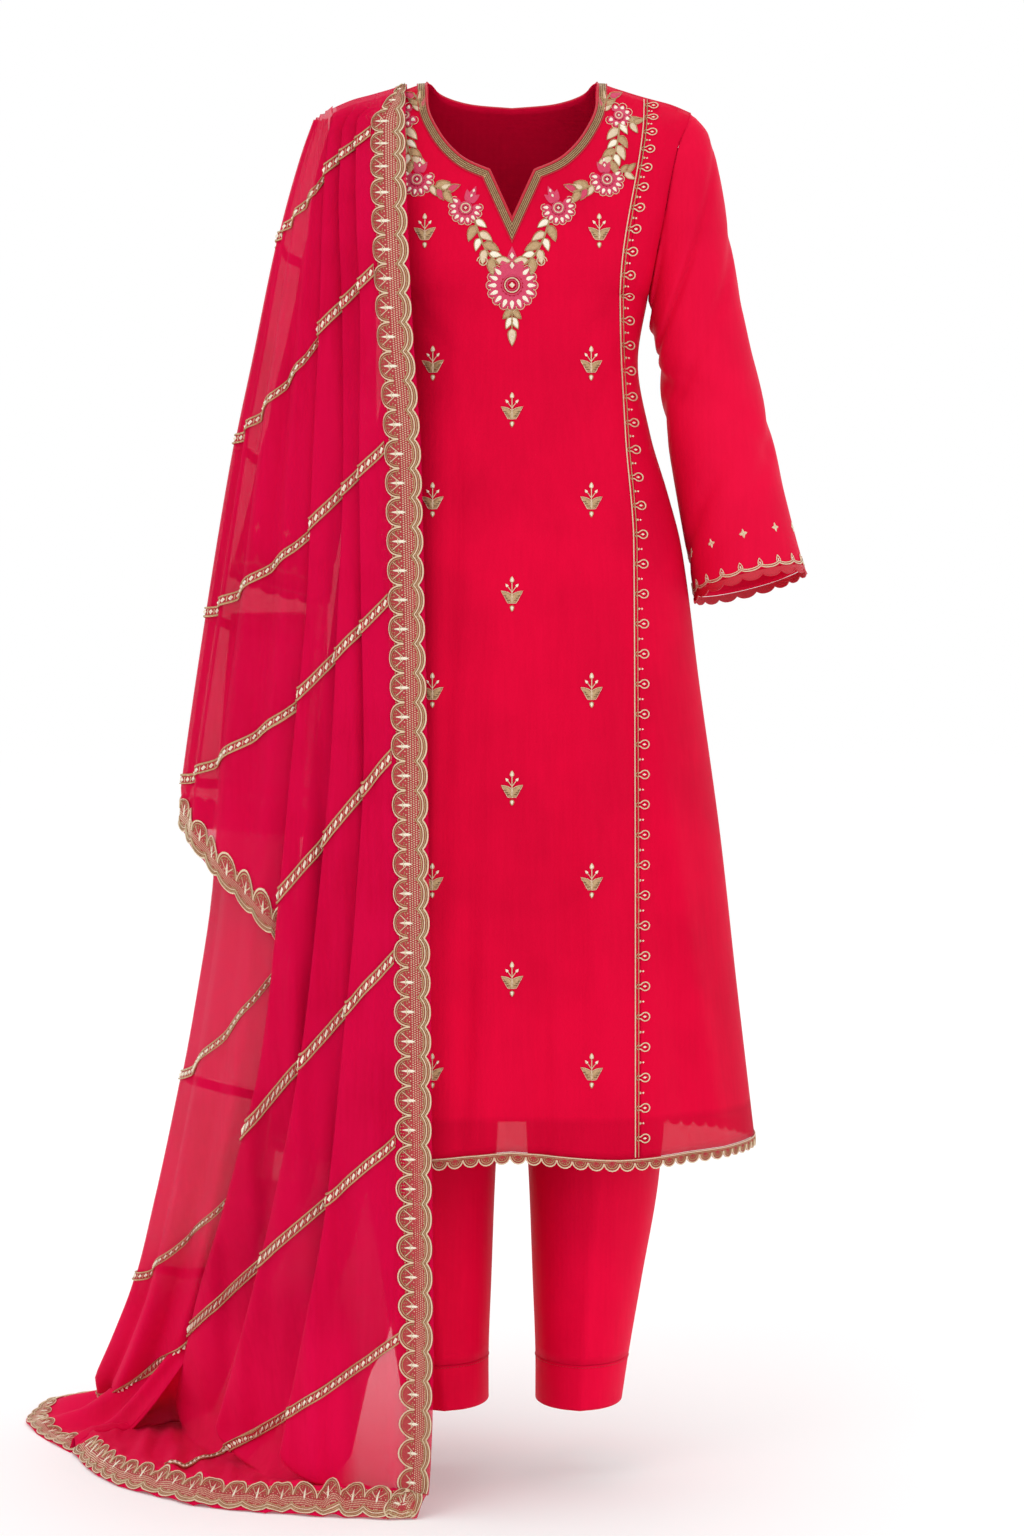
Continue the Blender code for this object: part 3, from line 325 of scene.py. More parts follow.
class Cloth:
    """A fine grid of points with its ways out, which the pieces laid on it are mapped through."""

    def __init__(self, rows, columns, points, ring=False, flip=False):
        self.rows, self.columns, self.ring = np.asarray(rows, float), np.asarray(columns, float), ring
        self.points = np.asarray(points, float)
        self.outs = ways_out(self.points, ring) * (-1 if flip else 1)

    def at(self, row, column, lift=0.0):
        """Points of the cloth at these rows and columns, moved out by lift."""
        row, column = np.broadcast_arrays(np.asarray(row, float), np.asarray(column, float))
        r = np.interp(row, self.rows, np.arange(len(self.rows)))
        c = np.interp(column, self.columns, np.arange(len(self.columns)))
        r0 = np.clip(r.astype(int), 0, len(self.rows) - 2)
        c0 = np.clip(c.astype(int), 0, len(self.columns) - 2)
        fr, fc = (r - r0)[..., None], (c - c0)[..., None]

        def blend(grid):
            upper = grid[r0, c0] * (1 - fc) + grid[r0, c0 + 1] * fc
            lower = grid[r0 + 1, c0] * (1 - fc) + grid[r0 + 1, c0 + 1] * fc
            return upper * (1 - fr) + lower * fr

        return blend(self.points) + blend(self.outs) * np.asarray(lift, float)[..., None]

    def cut(self):
        """The cloth's width, length and area, as laid flat."""
        across = np.linalg.norm(np.diff(self.points, axis=1), axis=2)
        down = np.linalg.norm(np.diff(self.points, axis=0), axis=2)
        width, length = float(across.sum(axis=1).max()), float(down.sum(axis=0).max())
        corner = self.points
        first = np.cross(corner[1:, 1:] - corner[:-1, :-1], corner[1:, :-1] - corner[:-1, 1:])
        area = float(np.linalg.norm(first, axis=2).sum()) / 2
        return width, length, min(area, width * length)


def ways_out(points, ring=False):
    """The unit way out of the cloth at each of its points."""
    if ring:
        around = np.concatenate([points[:, -2:-1], points, points[:, 1:2]], axis=1)
        across = around[:, 2:] - around[:, :-2]
    else:
        across = np.gradient(points, axis=1)
    down = np.gradient(points, axis=0)
    out = np.cross(down, across)
    return out / np.maximum(np.linalg.norm(out, axis=2, keepdims=True), 1e-12)


def shell(name, cloth, thickness, stuff, slot, nodes):
    """A thin closed wall on the cloth's grid: the outer face on its points, the inner one behind them."""
    points = cloth.points[:, :-1] if cloth.ring else cloth.points
    outs = cloth.outs[:, :-1] if cloth.ring else cloth.outs
    rows, columns = points.shape[:2]
    verts = np.concatenate([points.reshape(-1, 3), (points - outs * thickness).reshape(-1, 3)])
    index = np.arange(rows * columns).reshape(rows, columns)
    if cloth.ring:
        index = np.concatenate([index, index[:, :1]], axis=1)
    a, b, d, e = index[:-1, :-1], index[:-1, 1:], index[1:, 1:], index[1:, :-1]
    front = np.stack([a, e, d, b], axis=-1).reshape(-1, 4)
    back = front[:, ::-1] + rows * columns
    rims = [(index[0, :-1], index[0, 1:]), (index[-1, 1:], index[-1, :-1])]
    if not cloth.ring:
        rims += [(index[1:, 0], index[:-1, 0]), (index[:-1, -1], index[1:, -1])]
    rim = [np.stack([p, q, q + rows * columns, p + rows * columns], axis=-1) for p, q in rims]
    faces = np.concatenate([front, back] + rim)
    mesh = bpy.data.meshes.new(name)
    mesh.from_pydata(verts.tolist(), [], faces.tolist())
    mesh.materials.append(stuff)
    mesh.polygons.foreach_set("use_smooth", np.ones(len(faces), bool))
    piece = finish_piece(name, mesh, slot, nodes)
    width, length, area = cloth.cut()
    return piece


def finish_piece(name, mesh, slot, nodes=()):
    """Makes the mesh a piece that rides on the suit and stands in for its nodes."""
    piece = bpy.data.objects.new(name, mesh)
    bpy.context.scene.collection.objects.link(piece)
    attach(piece, "root")
    if nodes:
        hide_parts(*nodes)
    return piece


# ---------------------------------------------------------------- stitches drawn flat and laid on the cloth


def leaf_lines(length, half, bend, steps, round_end=0.6):
    """A leaf's outline, up its left side and down its right one, and the line up its middle."""
    f = np.linspace(0, 1, steps)
    half = half * np.sin(math.pi * f**round_end) ** 0.8
    side = bend * length * np.sin(math.pi * f)
    left, right, middle = (np.stack([f * length, y], axis=1) for y in (side + half, side - half, side))
    return np.vstack([left, right[-2:0:-1]]), middle


def turned(flat, x, y, angle):
    """Points of the plane turned by angle and moved to (x, y)."""
    c, s = math.cos(angle), math.sin(angle)
    return np.stack([x + flat[:, 0] * c - flat[:, 1] * s, y + flat[:, 0] * s + flat[:, 1] * c], axis=1)


class Sketch:
    """Raised threads, beads and leaves drawn on a plane: across, along, and how high they stand."""

    def __init__(self):
        self.points, self.faces, self.threads, self.count = [], [], [], 0

    def add(self, points, faces, thread):
        self.points.append(np.asarray(points, float))
        self.faces += [tuple(i + self.count for i in face) for face in faces]
        self.threads += [thread] * len(faces)
        self.count += len(points)

    def cord(self, line, radius, thread, lift=0.0, closed=False, sides=5):
        """A round cord that lies on the plane along a line."""
        line = np.asarray(line, float)
        if closed:
            line = np.vstack([line[-1:], line, line[:1]])
            along = line[2:] - line[:-2]
            line = line[1:-1]
        else:
            along = np.gradient(line, axis=0)
        along /= np.maximum(np.linalg.norm(along, axis=1)[:, None], 1e-12)
        turns = np.arange(sides) * 2 * math.pi / sides + math.pi / 2
        offset = np.stack([-along[:, 1], along[:, 0]], axis=1)
        flat = line[:, None] + offset[:, None] * (radius * np.cos(turns))[None, :, None]
        high = np.broadcast_to(lift + radius * (1 + np.sin(turns)), flat.shape[:2])[..., None]
        points = np.concatenate([flat, high], axis=2).reshape(-1, 3)
        n = len(line)
        faces = []
        for i in range(n if closed else n - 1):
            j = (i + 1) % n
            faces += [(i * sides + k, i * sides + (k + 1) % sides, j * sides + (k + 1) % sides, j * sides + k)
                      for k in range(sides)]
        if not closed:
            faces += [tuple(range(sides))[::-1], tuple((n - 1) * sides + k for k in range(sides))]
        self.add(points, faces, thread)

    def dot(self, x, y, radius, thread, high=1.0, long=1.0, angle=0.0, lift=0.0):
        """A small pointed bead: high is its height, and long its length along angle, by its radius."""
        c, s = math.cos(angle) * radius, math.sin(angle) * radius
        ring = [(c * long, s * long), (-s, c), (-c * long, -s * long), (s, -c)]
        points = [(x + dx, y + dy, lift + radius * high * 0.35) for dx, dy in ring]
        points += [(x, y, lift + radius * high * 1.35), (x, y, lift)]
        faces = [(k, (k + 1) % 4, 4) for k in range(4)] + [((k + 1) % 4, k, 5) for k in range(4)]
        self.add(points, faces, thread)

    def leaf(self, x, y, angle, length, width, thread, high=0.0007, lift=0.0, bend=0.0, round_end=0.6):
        """An almond with a raised spine: its foot at (x, y), pointing along angle."""
        outline, middle = leaf_lines(length, width / 2, bend, 6, round_end)
        spine, n = middle[1:-1], len(outline)
        flat = turned(np.vstack([outline, spine]), x, y, angle)
        rise = np.concatenate([np.full(n, lift), np.full(len(spine), lift + high)])
        points = np.concatenate([flat, rise[:, None]], axis=1)
        first, last = n, n + len(spine) - 1
        faces = [(0, 1, first), (n - 1, 0, first)]
        for k in range(len(spine) - 1):
            faces.append((k + 1, k + 2, first + k + 1, first + k))
            faces.append((n - 1 - k, first + k, first + k + 1, n - 2 - k))
        faces += [(4, 5, last), (6, last, 5), tuple(range(n))[::-1]]
        self.add(points, faces, thread)

    def placed(self, other, x=0.0, y=0.0, angle=0.0, mirror=False):
        """Adds a copy of another sketch, turned and moved."""
        points = np.concatenate(other.points) * (-1.0 if mirror else 1.0, 1, 1)
        moved = np.concatenate([turned(points, x, y, angle), points[:, 2:]], axis=1)
        self.points.append(moved)
        self.faces += [tuple(i + self.count for i in face) for face in other.faces]
        self.threads += other.threads
        self.count += len(moved)
        return self

    def repeated(self, count, pitch, stretch=1.0):
        """Copies of the sketch one pitch apart along x, as one sketch."""
        made = Sketch()
        base = np.concatenate(self.points) * (stretch, 1, 1)
        steps = np.arange(count)[:, None, None] * np.array([pitch * stretch, 0, 0])
        made.points = [(base[None] + steps).reshape(-1, 3)]
        size = len(base)
        made.faces = [tuple(i + k * size for i in face) for k in range(count) for face in self.faces]
        made.threads = list(self.threads) * count
        made.count = size * count
        return made


def lay(name, sketch, place, slot, nodes=(), base=None):
    """Lays a sketch on the cloth: place(x, y, height) gives the point; base adds a ground cloth under it."""
    flat = np.concatenate(sketch.points)
    verts = place(flat[:, 0], flat[:, 1], flat[:, 2])
    names = sorted(set(sketch.threads))
    faces, threads = list(sketch.faces), [names.index(t) for t in sketch.threads]
    verts = verts.tolist()
    if base is not None:
        ground, ground_faces, ground_thread = base
        if ground_thread not in names:
            names.append(ground_thread)
        faces += [tuple(i + len(verts) for i in face) for face in ground_faces]
        threads += [names.index(ground_thread)] * len(ground_faces)
        verts += ground.tolist()
    mesh = bpy.data.meshes.new(name)
    mesh.from_pydata(verts, [], faces)
    for thread in names:
        mesh.materials.append(MATERIALS[thread])
    mesh.polygons.foreach_set("material_index", np.array(threads))
    fixer = bmesh.new()
    fixer.from_mesh(mesh)
    bmesh.ops.recalc_face_normals(fixer, faces=fixer.faces)
    fixer.to_mesh(mesh)
    fixer.free()
    mesh.polygons.foreach_set("use_smooth", np.ones(len(mesh.polygons), bool))
    mesh.set_sharp_from_angle(angle=math.radians(50))
    return finish_piece(name, mesh, slot, nodes)


class Strip:
    """A narrow band of cloth between an edge line and an inner line, one width apart."""

    def __init__(self, edge, inner, out, width):
        self.edge, self.inner, self.width = np.asarray(edge), np.asarray(inner), width
        self.out = np.asarray(out) / np.linalg.norm(out, axis=1)[:, None]
        middle = (self.edge + self.inner) / 2
        self.way = np.append(0, np.cumsum(np.linalg.norm(np.diff(middle, axis=0), axis=1)))
        self.length = self.way[-1]

    def at(self, s, t, h):
        """Points at these ways along the band and distances from its edge, moved out by h."""
        i = np.interp(s, self.way, np.arange(len(self.way)))
        i0 = np.clip(i.astype(int), 0, len(self.way) - 2)
        f = (i - i0)[:, None]

        def along(line):
            return line[i0] * (1 - f) + line[i0 + 1] * f

        edge, inner, out = along(self.edge), along(self.inner), along(self.out)
        return edge + (inner - edge) * (t / self.width)[:, None] + out * np.asarray(h)[:, None]

    def ground(self, near, far, steps, thread, lift=0.0003, thickness=0.0005, across=4):
        """The band's own thin cloth between two lines, each a distance from the edge by the way along."""
        s = np.linspace(0, self.length, steps)
        start, end = near(s), far(s)
        shares = np.linspace(0, 1, across)
        lines = [(share, lift + thickness) for share in shares] + [(share, lift) for share in shares[::-1]]
        points = np.concatenate([self.at(s, start + (end - start) * share, h + 0 * s) for share, h in lines])
        faces = []
        for k in range(len(lines)):
            a, b = k * steps, (k + 1) % len(lines) * steps
            faces += [(a + i, a + i + 1, b + i + 1, b + i) for i in range(steps - 1)]
        faces.append(tuple(k * steps for k in range(len(lines))))
        faces.append(tuple(k * steps + steps - 1 for k in reversed(range(len(lines)))))
        return points, faces, thread


def level(distance):
    """A line that keeps one distance from a strip's edge."""
    return lambda way: np.full(len(way), distance)


class ClothStrip(Strip):
    """A strip that follows the cloth between its two lines, which are rows and columns of that cloth."""

    def __init__(self, cloth, edge_rows, edge_columns, inner_rows, inner_columns, width):
        self.cloth = cloth
        lines = np.broadcast_arrays(edge_rows, edge_columns, inner_rows, inner_columns)
        self.places = np.stack(lines, axis=1).astype(float)
        edge, inner = cloth.at(*self.places[:, :2].T), cloth.at(*self.places[:, 2:].T)
        out = cloth.at(*self.places[:, 2:].T, np.ones(len(inner))) - inner
        super().__init__(edge, inner, out, width)

    def at(self, s, t, h):
        at = np.arange(len(self.way))
        i = np.interp(s, self.way, at)
        edge_row, edge_column, inner_row, inner_column = (np.interp(i, at, line) for line in self.places.T)
        share = t / self.width
        row = edge_row + (inner_row - edge_row) * share
        return self.cloth.at(row, edge_column + (inner_column - edge_column) * share, h)

    def squared(self):
        """The strip with its inner line slid along itself, so that it lies square to the edge."""
        gaps = np.linalg.norm(self.edge[:, None] - self.inner[None], axis=2)
        nearest = np.maximum.accumulate(np.argmin(gaps, axis=1)).astype(float)
        smooth = np.convolve(np.pad(nearest, 6, mode="edge"), np.full(13, 1 / 13), mode="valid")
        at = np.arange(len(gaps))
        rows, columns = (np.interp(smooth, at, self.places[:, i]) for i in (2, 3))
        return ClothStrip(self.cloth, self.places[:, 0], self.places[:, 1], rows, columns, self.width)


# ---------------------------------------------------------------- the suit's form, as the solids have it

# Kameez: the worn hollow by height, half its width and how far its front and back stand out.
BODY = table(
    "height half front back",
    (1.430, 0.1815, 0.101, 0.094),
    (1.392, 0.1805, 0.101, 0.094),
    (1.351, 0.1660, 0.101, 0.094),
    (1.286, 0.1530, 0.101, 0.094),
    (1.205, 0.1380, 0.101, 0.094),
    (1.140, 0.1280, 0.099, 0.090),
    (1.068, 0.1405, 0.108, 0.104),
    (1.006, 0.1590, 0.118, 0.120),
    (0.955, 0.1723, 0.127, 0.132),
    (0.811, 0.1918, 0.142, 0.146),
    (0.658, 0.2133, 0.153, 0.155),
    (0.504, 0.2308, 0.163, 0.165),
    (0.350, 0.2492, 0.172, 0.174),
)
SHOULDER = table(
    "across height",
    (0.0000, 1.4250),
    (0.0860, 1.4218),
    (0.1060, 1.4160),
    (0.1270, 1.4095),
    (0.1430, 1.4050),
    (0.1600, 1.4005),
    (0.1805, 1.3920),
    (0.1900, 1.3870),
)
# How far the cloth has come forward or back at each drop below the shoulder line.
CHEST = table(
    "drop front back",
    (0.000, 0.000, 0.000),
    (0.006, 0.014, 0.014),
    (0.015, 0.024, 0.024),
    (0.035, 0.042, 0.040),
    (0.070, 0.063, 0.059),
    (0.120, 0.083, 0.077),
    (0.190, 0.101, 0.094),
)
UNDERARM = 1.205
ARMHOLE_MID, ARMHOLE_REACH = 1.2985, 0.0935
ARMHOLE_FRONT, ARMHOLE_BACK = 0.046, 0.042
ROUNDNESS = 2.2
HEM_FOLDS = table(
    "across width front back",
    (-0.205, 0.045, 0.006, 0.005),
    (-0.115, 0.060, 0.009, -0.006),
    (0.000, 0.070, -0.009, 0.008),
    (0.120, 0.060, 0.009, -0.005),
    (0.205, 0.045, -0.003, 0.006),
)
FOLDS_START, FOLDS_FULL = 0.85, 0.35
HEM_ROW, HEM_LACE_DROP, HEM_LACE_GAP, HEM_PITCH = 0.352, 0.0120, 0.0003, 0.0157
HEM = table("share height", (0.0, 0.3570), (0.45, 0.3500), (0.7, 0.3520), (1.0, 0.3540))
LINING_TOP, LINING_HEM, LINING_GAP = 1.190, 0.3860, 0.0080
# The neckline's right half, across and height; the slit's straight side ends at the front's second place.
NECK_FRONT = (
    (0.0, 1.2780),
    (0.0220, 1.3270),
    (0.0450, 1.3375),
    (0.0600, 1.3500),
    (0.0745, 1.3700),
    (0.0840, 1.3940),
    (0.0860, 1.4218),
)
NECK_FRONT_SHARES = (0.0, 0.17, 0.34, 0.46, 0.56, 0.64, 0.71)
NECK_BACK = (
    (0.0, 1.3990),
    (0.0400, 1.4020),
    (0.0700, 1.4100),
    (0.0860, 1.4218),
)
NECK_BAND = 0.0125
# The seams between the front's centre and its sides.
PRINCESS = table(
    "height across",
    (1.430, 0.1386),
    (1.405, 0.1386),
    (1.205, 0.1128),
    (1.068, 0.1180),
    (0.955, 0.1260),
    (0.658, 0.1270),
    (0.350, 0.1268),
)
SHOULDER_SEAM, ARM_TIP = 0.1386, 0.1805
# Rows of the fine grid above the underarm and below it.
TOP_ROWS, LOW_ROWS = 34, 96


def shoulder(across):
    """The height of the shoulder line."""
    return curve(SHOULDER["across"], SHOULDER["height"], np.abs(across))


def body(height, name):
    """One measure of the kameez's hollow at a height."""
    return curve(BODY["height"], BODY[name], height)


def armhole(height, reach):
    """How far the armhole's oval has opened at a height."""
    q = (height - ARMHOLE_MID) / ARMHOLE_REACH
    return reach * np.sqrt(np.clip(1 - q * q, 0, 1))


def hem_fold(across, height, side):
    """The broad folds that grow towards the hem."""
    full = np.clip((FOLDS_START - height) / (FOLDS_START - FOLDS_FULL), 0, 1) ** 1.3
    bumps = zip(HEM_FOLDS["across"], HEM_FOLDS["width"], HEM_FOLDS[side])
    return full * sum(out * np.exp(-(((across - x) / width) ** 2)) for x, width, out in bumps)


def body_depth(across, height, side):
    """How far the front or back of the kameez stands out from the plane of its side seams."""
    reach = ARMHOLE_FRONT if side == "front" else ARMHOLE_BACK
    share = np.clip(np.abs(across) / body(height, "half"), 0, 1)
    drop = np.maximum(shoulder(across) - height, 0)
    upper = curve(CHEST["drop"], CHEST[side], drop)
    middle = np.where(height > UNDERARM, upper, body(height, side))
    edge = armhole(height, reach)
    round_off = (1 - share**ROUNDNESS) ** (1 / ROUNDNESS)
    return edge + (middle - edge + hem_fold(across, height, side)) * round_off


# Sleeves: the inner and outer line of the tube seen from the front, and half its depth.
SLEEVE = table(
    "share inner inner_height outer outer_height depth",
    (0.00, 0.1380, 1.2050, 0.1805, 1.3920, 0.046),
    (0.08, 0.1400, 1.2000, 0.1985, 1.3700, 0.052),
    (0.18, 0.1420, 1.1850, 0.2100, 1.3280, 0.055),
    (0.32, 0.1455, 1.1500, 0.2235, 1.2500, 0.056),
    (0.50, 0.1520, 1.0950, 0.2430, 1.1550, 0.056),
    (0.68, 0.1635, 1.0250, 0.2650, 1.0620, 0.057),
    (0.85, 0.1760, 0.9550, 0.2830, 0.9830, 0.058),
    (1.00, 0.1850, 0.9050, 0.2970, 0.9320, 0.059),
)
SLEEVE_TILT, ARMHOLE_GAP, LEFT_SLEEVE_SLIMMER = 0.010, 0.0006, 0.012
CUFF_EDGE = 0.009

# Trousers: hip rows use half their width from the middle; leg rows lie about the leg's own centre.
TROUSERS = table(
    "height hip centre leg front back",
    (0.985, 0.140, 0.070, 0.070, 0.098, 0.100),
    (0.900, 0.158, 0.079, 0.078, 0.112, 0.118),
    (0.800, 0.168, 0.086, 0.083, 0.118, 0.122),
    (0.700, 0.172, 0.0885, 0.0845, 0.108, 0.112),
    (0.600, 0.170, 0.0880, 0.0820, 0.096, 0.100),
    (0.450, 0.165, 0.0865, 0.0760, 0.085, 0.088),
    (0.309, 0.160, 0.0840, 0.0672, 0.080, 0.081),
    (0.200, 0.155, 0.0770, 0.0560, 0.075, 0.075),
    (0.125, 0.150, 0.0720, 0.0482, 0.072, 0.071),
    (0.078, 0.150, 0.0685, 0.0447, 0.070, 0.069),
)
CROTCH_TOP, CROTCH_LOW = 0.800, 0.700
WAIST_TOP, LEG_TOP, CUFF_SEAM, LEG_HEM = 1.020, 0.985, 0.1250, 0.0780
LEG_GAP, PRESSED = 0.0005, 0.0025

# Dupatta: the plan of its pleated front at each height. Each fold edge has its place, the folds tuck
# back under by "tuck" and the layers lie "gap" apart.
FALL = table(
    "height border border_y third third_y second second_y first first_y tuck gap",
    (1.3900, -0.107, -0.050, -0.156, -0.040, -0.169, -0.034, -0.182, -0.026, 0.003, 0.0040),
    (1.3000, -0.104, -0.102, -0.155, -0.094, -0.172, -0.086, -0.188, -0.074, 0.010, 0.0055),
    (1.1700, -0.098, -0.118, -0.150, -0.112, -0.168, -0.102, -0.192, -0.090, 0.014, 0.0045),
    (1.0500, -0.090, -0.124, -0.151, -0.119, -0.167, -0.109, -0.198, -0.097, 0.016, 0.0045),
    (0.9000, -0.086, -0.140, -0.149, -0.134, -0.172, -0.124, -0.204, -0.110, 0.020, 0.0050),
    (0.7500, -0.083, -0.156, -0.146, -0.150, -0.179, -0.138, -0.218, -0.122, 0.024, 0.0050),
    (0.6000, -0.081, -0.172, -0.154, -0.163, -0.192, -0.148, -0.232, -0.126, 0.028, 0.0060),
    (0.4500, -0.079, -0.186, -0.168, -0.173, -0.209, -0.152, -0.250, -0.118, 0.032, 0.0070),
    (0.3000, -0.078, -0.196, -0.184, -0.172, -0.238, -0.134, -0.288, -0.072, 0.034, 0.0080),
    (0.1800, -0.077, -0.202, -0.206, -0.160, -0.268, -0.088, -0.325, 0.008, 0.032, 0.0085),
    (0.1000, -0.078, -0.206, -0.222, -0.146, -0.290, -0.048, -0.345, 0.068, 0.022, 0.0080),
    (0.0500, -0.080, -0.208, -0.232, -0.138, -0.305, -0.018, -0.358, 0.118, 0.010, 0.0070),
)
# The lowest tucks of the fuller fall: how much deeper, from which height, over what way, and their least.
TUCK_MORE, TUCK_MORE_FROM, TUCK_MORE_OVER, TUCK_LOW = 1.6, 0.95, 0.60, 0.072
FALL_LIFT, RIDGE_HALF = 0.005, 0.001
# The row between the ridge on the shoulder and the first row below it.
RIDGE_DOWN, RIDGE_FORWARD, RIDGE_BULGE = 0.45, 0.60, 0.006
RIDGE_START, RIDGE_END = -0.1070, -0.1830
LACE_WIDTH, LACE_MOST = 0.036, 0.7
# The fall's rows run from -1 on the ridge to 0 at its top, 1 at its lowest height and 2 at its hem.
FALL_TOP, FOOT_AT, FLOOR_MIDDLE = 1.372, 1.33, 1.66
# Where the front fall meets the floor and where its hem lies, by share of its width from the border.
FOOT = table(
    "share foot_x foot_y hem_x hem_y",
    (0.00, -0.083, -0.206, -0.093, -0.2140),
    (0.10, -0.120, -0.196, -0.140, -0.2140),
    (0.25, -0.170, -0.174, -0.200, -0.2000),
    (0.45, -0.232, -0.128, -0.275, -0.1800),
    (0.62, -0.285, -0.040, -0.345, -0.1350),
    (0.80, -0.330, 0.050, -0.420, -0.0450),
    (1.00, -0.366, 0.150, -0.463, 0.0670),
)
FOOT_HEIGHT, TRAIN_MIDDLE_HEIGHT, REST_HEIGHT, HEM_STAND = 0.014, 0.009, 0.0030, 0.018
FALL_SHARES = (0.0, 0.08, 0.16, 0.25, 0.27, 0.33, 0.35, 0.43, 0.52, 0.54, 0.61, 0.63, 0.75, 0.88, 0.90, 1.0)
# Places of the plan: the first pleat's edge, where it has turned, and the end of its tuck.
FIRST_EDGE, FIRST_TURNED, FIRST_UNDER = 13, 14, 15
# Each gota tape's upper edge on the front: its height at the border and at the first fold. Below the
# floor line a height counts the way along the floor.
GOTA_FRONT = table(
    "border first",
    (1.378, 1.335),
    (1.232, 1.176),
    (1.057, 0.982),
    (0.907, 0.814),
    (0.755, 0.616),
    (0.558, 0.380),
    (0.377, 0.150),
    (0.183, -0.200),
)
GOTA_WIDTH, GOTA_PITCH = 0.0095, 0.0088
HEM_LACE = 0.026
# How far short of the hem lace the tapes end, in rows of the fall. The last tape aims at a place further out:
# its share of the width and its way above the lace; its line bends on the way there.
TAPE_CLEAR, LAST_TAPE_END, LAST_TAPE_LIES, LAST_TAPE_BEND = 0.02, 0.66, 0.116, 1.3
# The last tape passes under the fold at this share of the width. Its end runs on below the fold down these
# rows of the fall, its shares changing evenly, and is this wide across them.
LAST_TAPE_FOLD, LAST_TAPE_ACROSS = 0.535, 0.0165
LAST_TAPE_ROWS, LAST_TAPE_SHARES = (1.06, 1.84), (0.720, 0.668)
# The slope by which the camera looks down on the fall.
LOOK_DOWN = 0.20

# The cape over the sleeve and the layer below it: how far each reaches outside the arm and behind it.
CAPE = table(
    "height out out_y back back_y",
    (1.4000, -0.194, 0.000, -0.186, 0.014),
    (1.3510, -0.2120, 0.004, -0.185, 0.064),
    (1.2600, -0.2370, 0.004, -0.172, 0.074),
    (1.1400, -0.2615, 0.004, -0.166, 0.080),
    (1.0680, -0.2765, 0.004, -0.168, 0.088),
    (0.8880, -0.3070, 0.006, -0.178, 0.118),
    (0.7090, -0.3340, 0.008, -0.190, 0.132),
    (0.5000, -0.3600, 0.010, -0.200, 0.142),
)
# Rows of the cape's grid by their heights at the first pleat, outside the arm and behind it; each tape lies
# between one of CAPE_TAPES and the next row.
CAPE_ROWS = table(
    "first out back",
    (1.3970, 1.3840, 1.3900),
    (1.3650, 1.3560, 1.3450),
    (1.3340, 1.2690, 1.2300),
    (1.3245, 1.2595, 1.2205),
    (1.2500, 1.1600, 1.1200),
    (1.1740, 1.0640, 1.0200),
    (1.1645, 1.0545, 1.0105),
    (1.0700, 0.9700, 0.9300),
    (0.9780, 0.8890, 0.8500),
    (0.9685, 0.8795, 0.8405),
    (0.8090, 0.7190, 0.6950),
    (0.7995, 0.7095, 0.6855),
    (0.5850, 0.7000, 0.6750),
    (0.5450, 0.6680, 0.6430),
)
CAPE_TAPES = (2, 5, 8, 10)
LOWER = table(
    "height out out_y back back_y",
    (0.9300, -0.282, 0.000, -0.205, 0.090),
    (0.7500, -0.297, 0.010, -0.208, 0.112),
    (0.6100, -0.306, 0.030, -0.212, 0.130),
    (0.4790, -0.326, 0.040, -0.220, 0.150),
    (0.3710, -0.347, 0.050, -0.230, 0.165),
    (0.2785, -0.367, 0.060, -0.240, 0.175),
    (0.1815, -0.392, 0.100, -0.262, 0.200),
    (0.1100, -0.420, 0.160, -0.290, 0.240),
    (0.0500, -0.447, 0.230, -0.320, 0.280),
)
LOWER_ROWS = table(
    "first out back",
    (0.8850, 0.8850, 0.8850),
    (0.7400, 0.6600, 0.6000),
    (0.5500, 0.4100, 0.3600),
    (0.5405, 0.4005, 0.3505),
    (0.4300, 0.2900, 0.2500),
    (0.3290, 0.1890, 0.1700),
    (0.3195, 0.1795, 0.1605),
    (0.2400, 0.0900, 0.0850),
    (0.1720, 0.0200, 0.0200),
    (0.1625, 0.0100, 0.0100),
)
LOWER_TAPES = (2, 5, 8)
# The turns of the arc's columns, in degrees, from the first pleat at 0 past the arm's outside at 90.
ARC_COLUMNS = np.linspace(0, 172, 76)
# Where the lower layer meets the floor and where its hem lies, by turn.
TRAIN = table(
    "turn foot_x foot_y hem_x hem_y",
    (0, -0.370, 0.156, -0.4645, 0.0695),
    (22, -0.395, 0.185, -0.4900, 0.1150),
    (44, -0.418, 0.215, -0.5150, 0.1700),
    (66, -0.440, 0.245, -0.5300, 0.2300),
    (90, -0.448, 0.275, -0.5150, 0.3150),
    (116, -0.425, 0.300, -0.4750, 0.3600),
    (145, -0.385, 0.310, -0.4200, 0.3700),
    (172, -0.340, 0.300, -0.3650, 0.3600),
)

# The end that hangs behind the shoulder.
BACK_FALL = table(
    "height inner inner_y outer outer_y",
    (1.3900, -0.107, 0.042, -0.178, 0.022),
    (1.3000, -0.104, 0.098, -0.180, 0.086),
    (1.1500, -0.098, 0.108, -0.184, 0.098),
    (1.0000, -0.094, 0.134, -0.192, 0.118),
    (0.8500, -0.090, 0.156, -0.202, 0.142),
    (0.7000, -0.086, 0.170, -0.214, 0.158),
    (0.6500, -0.085, 0.173, -0.218, 0.160),
)

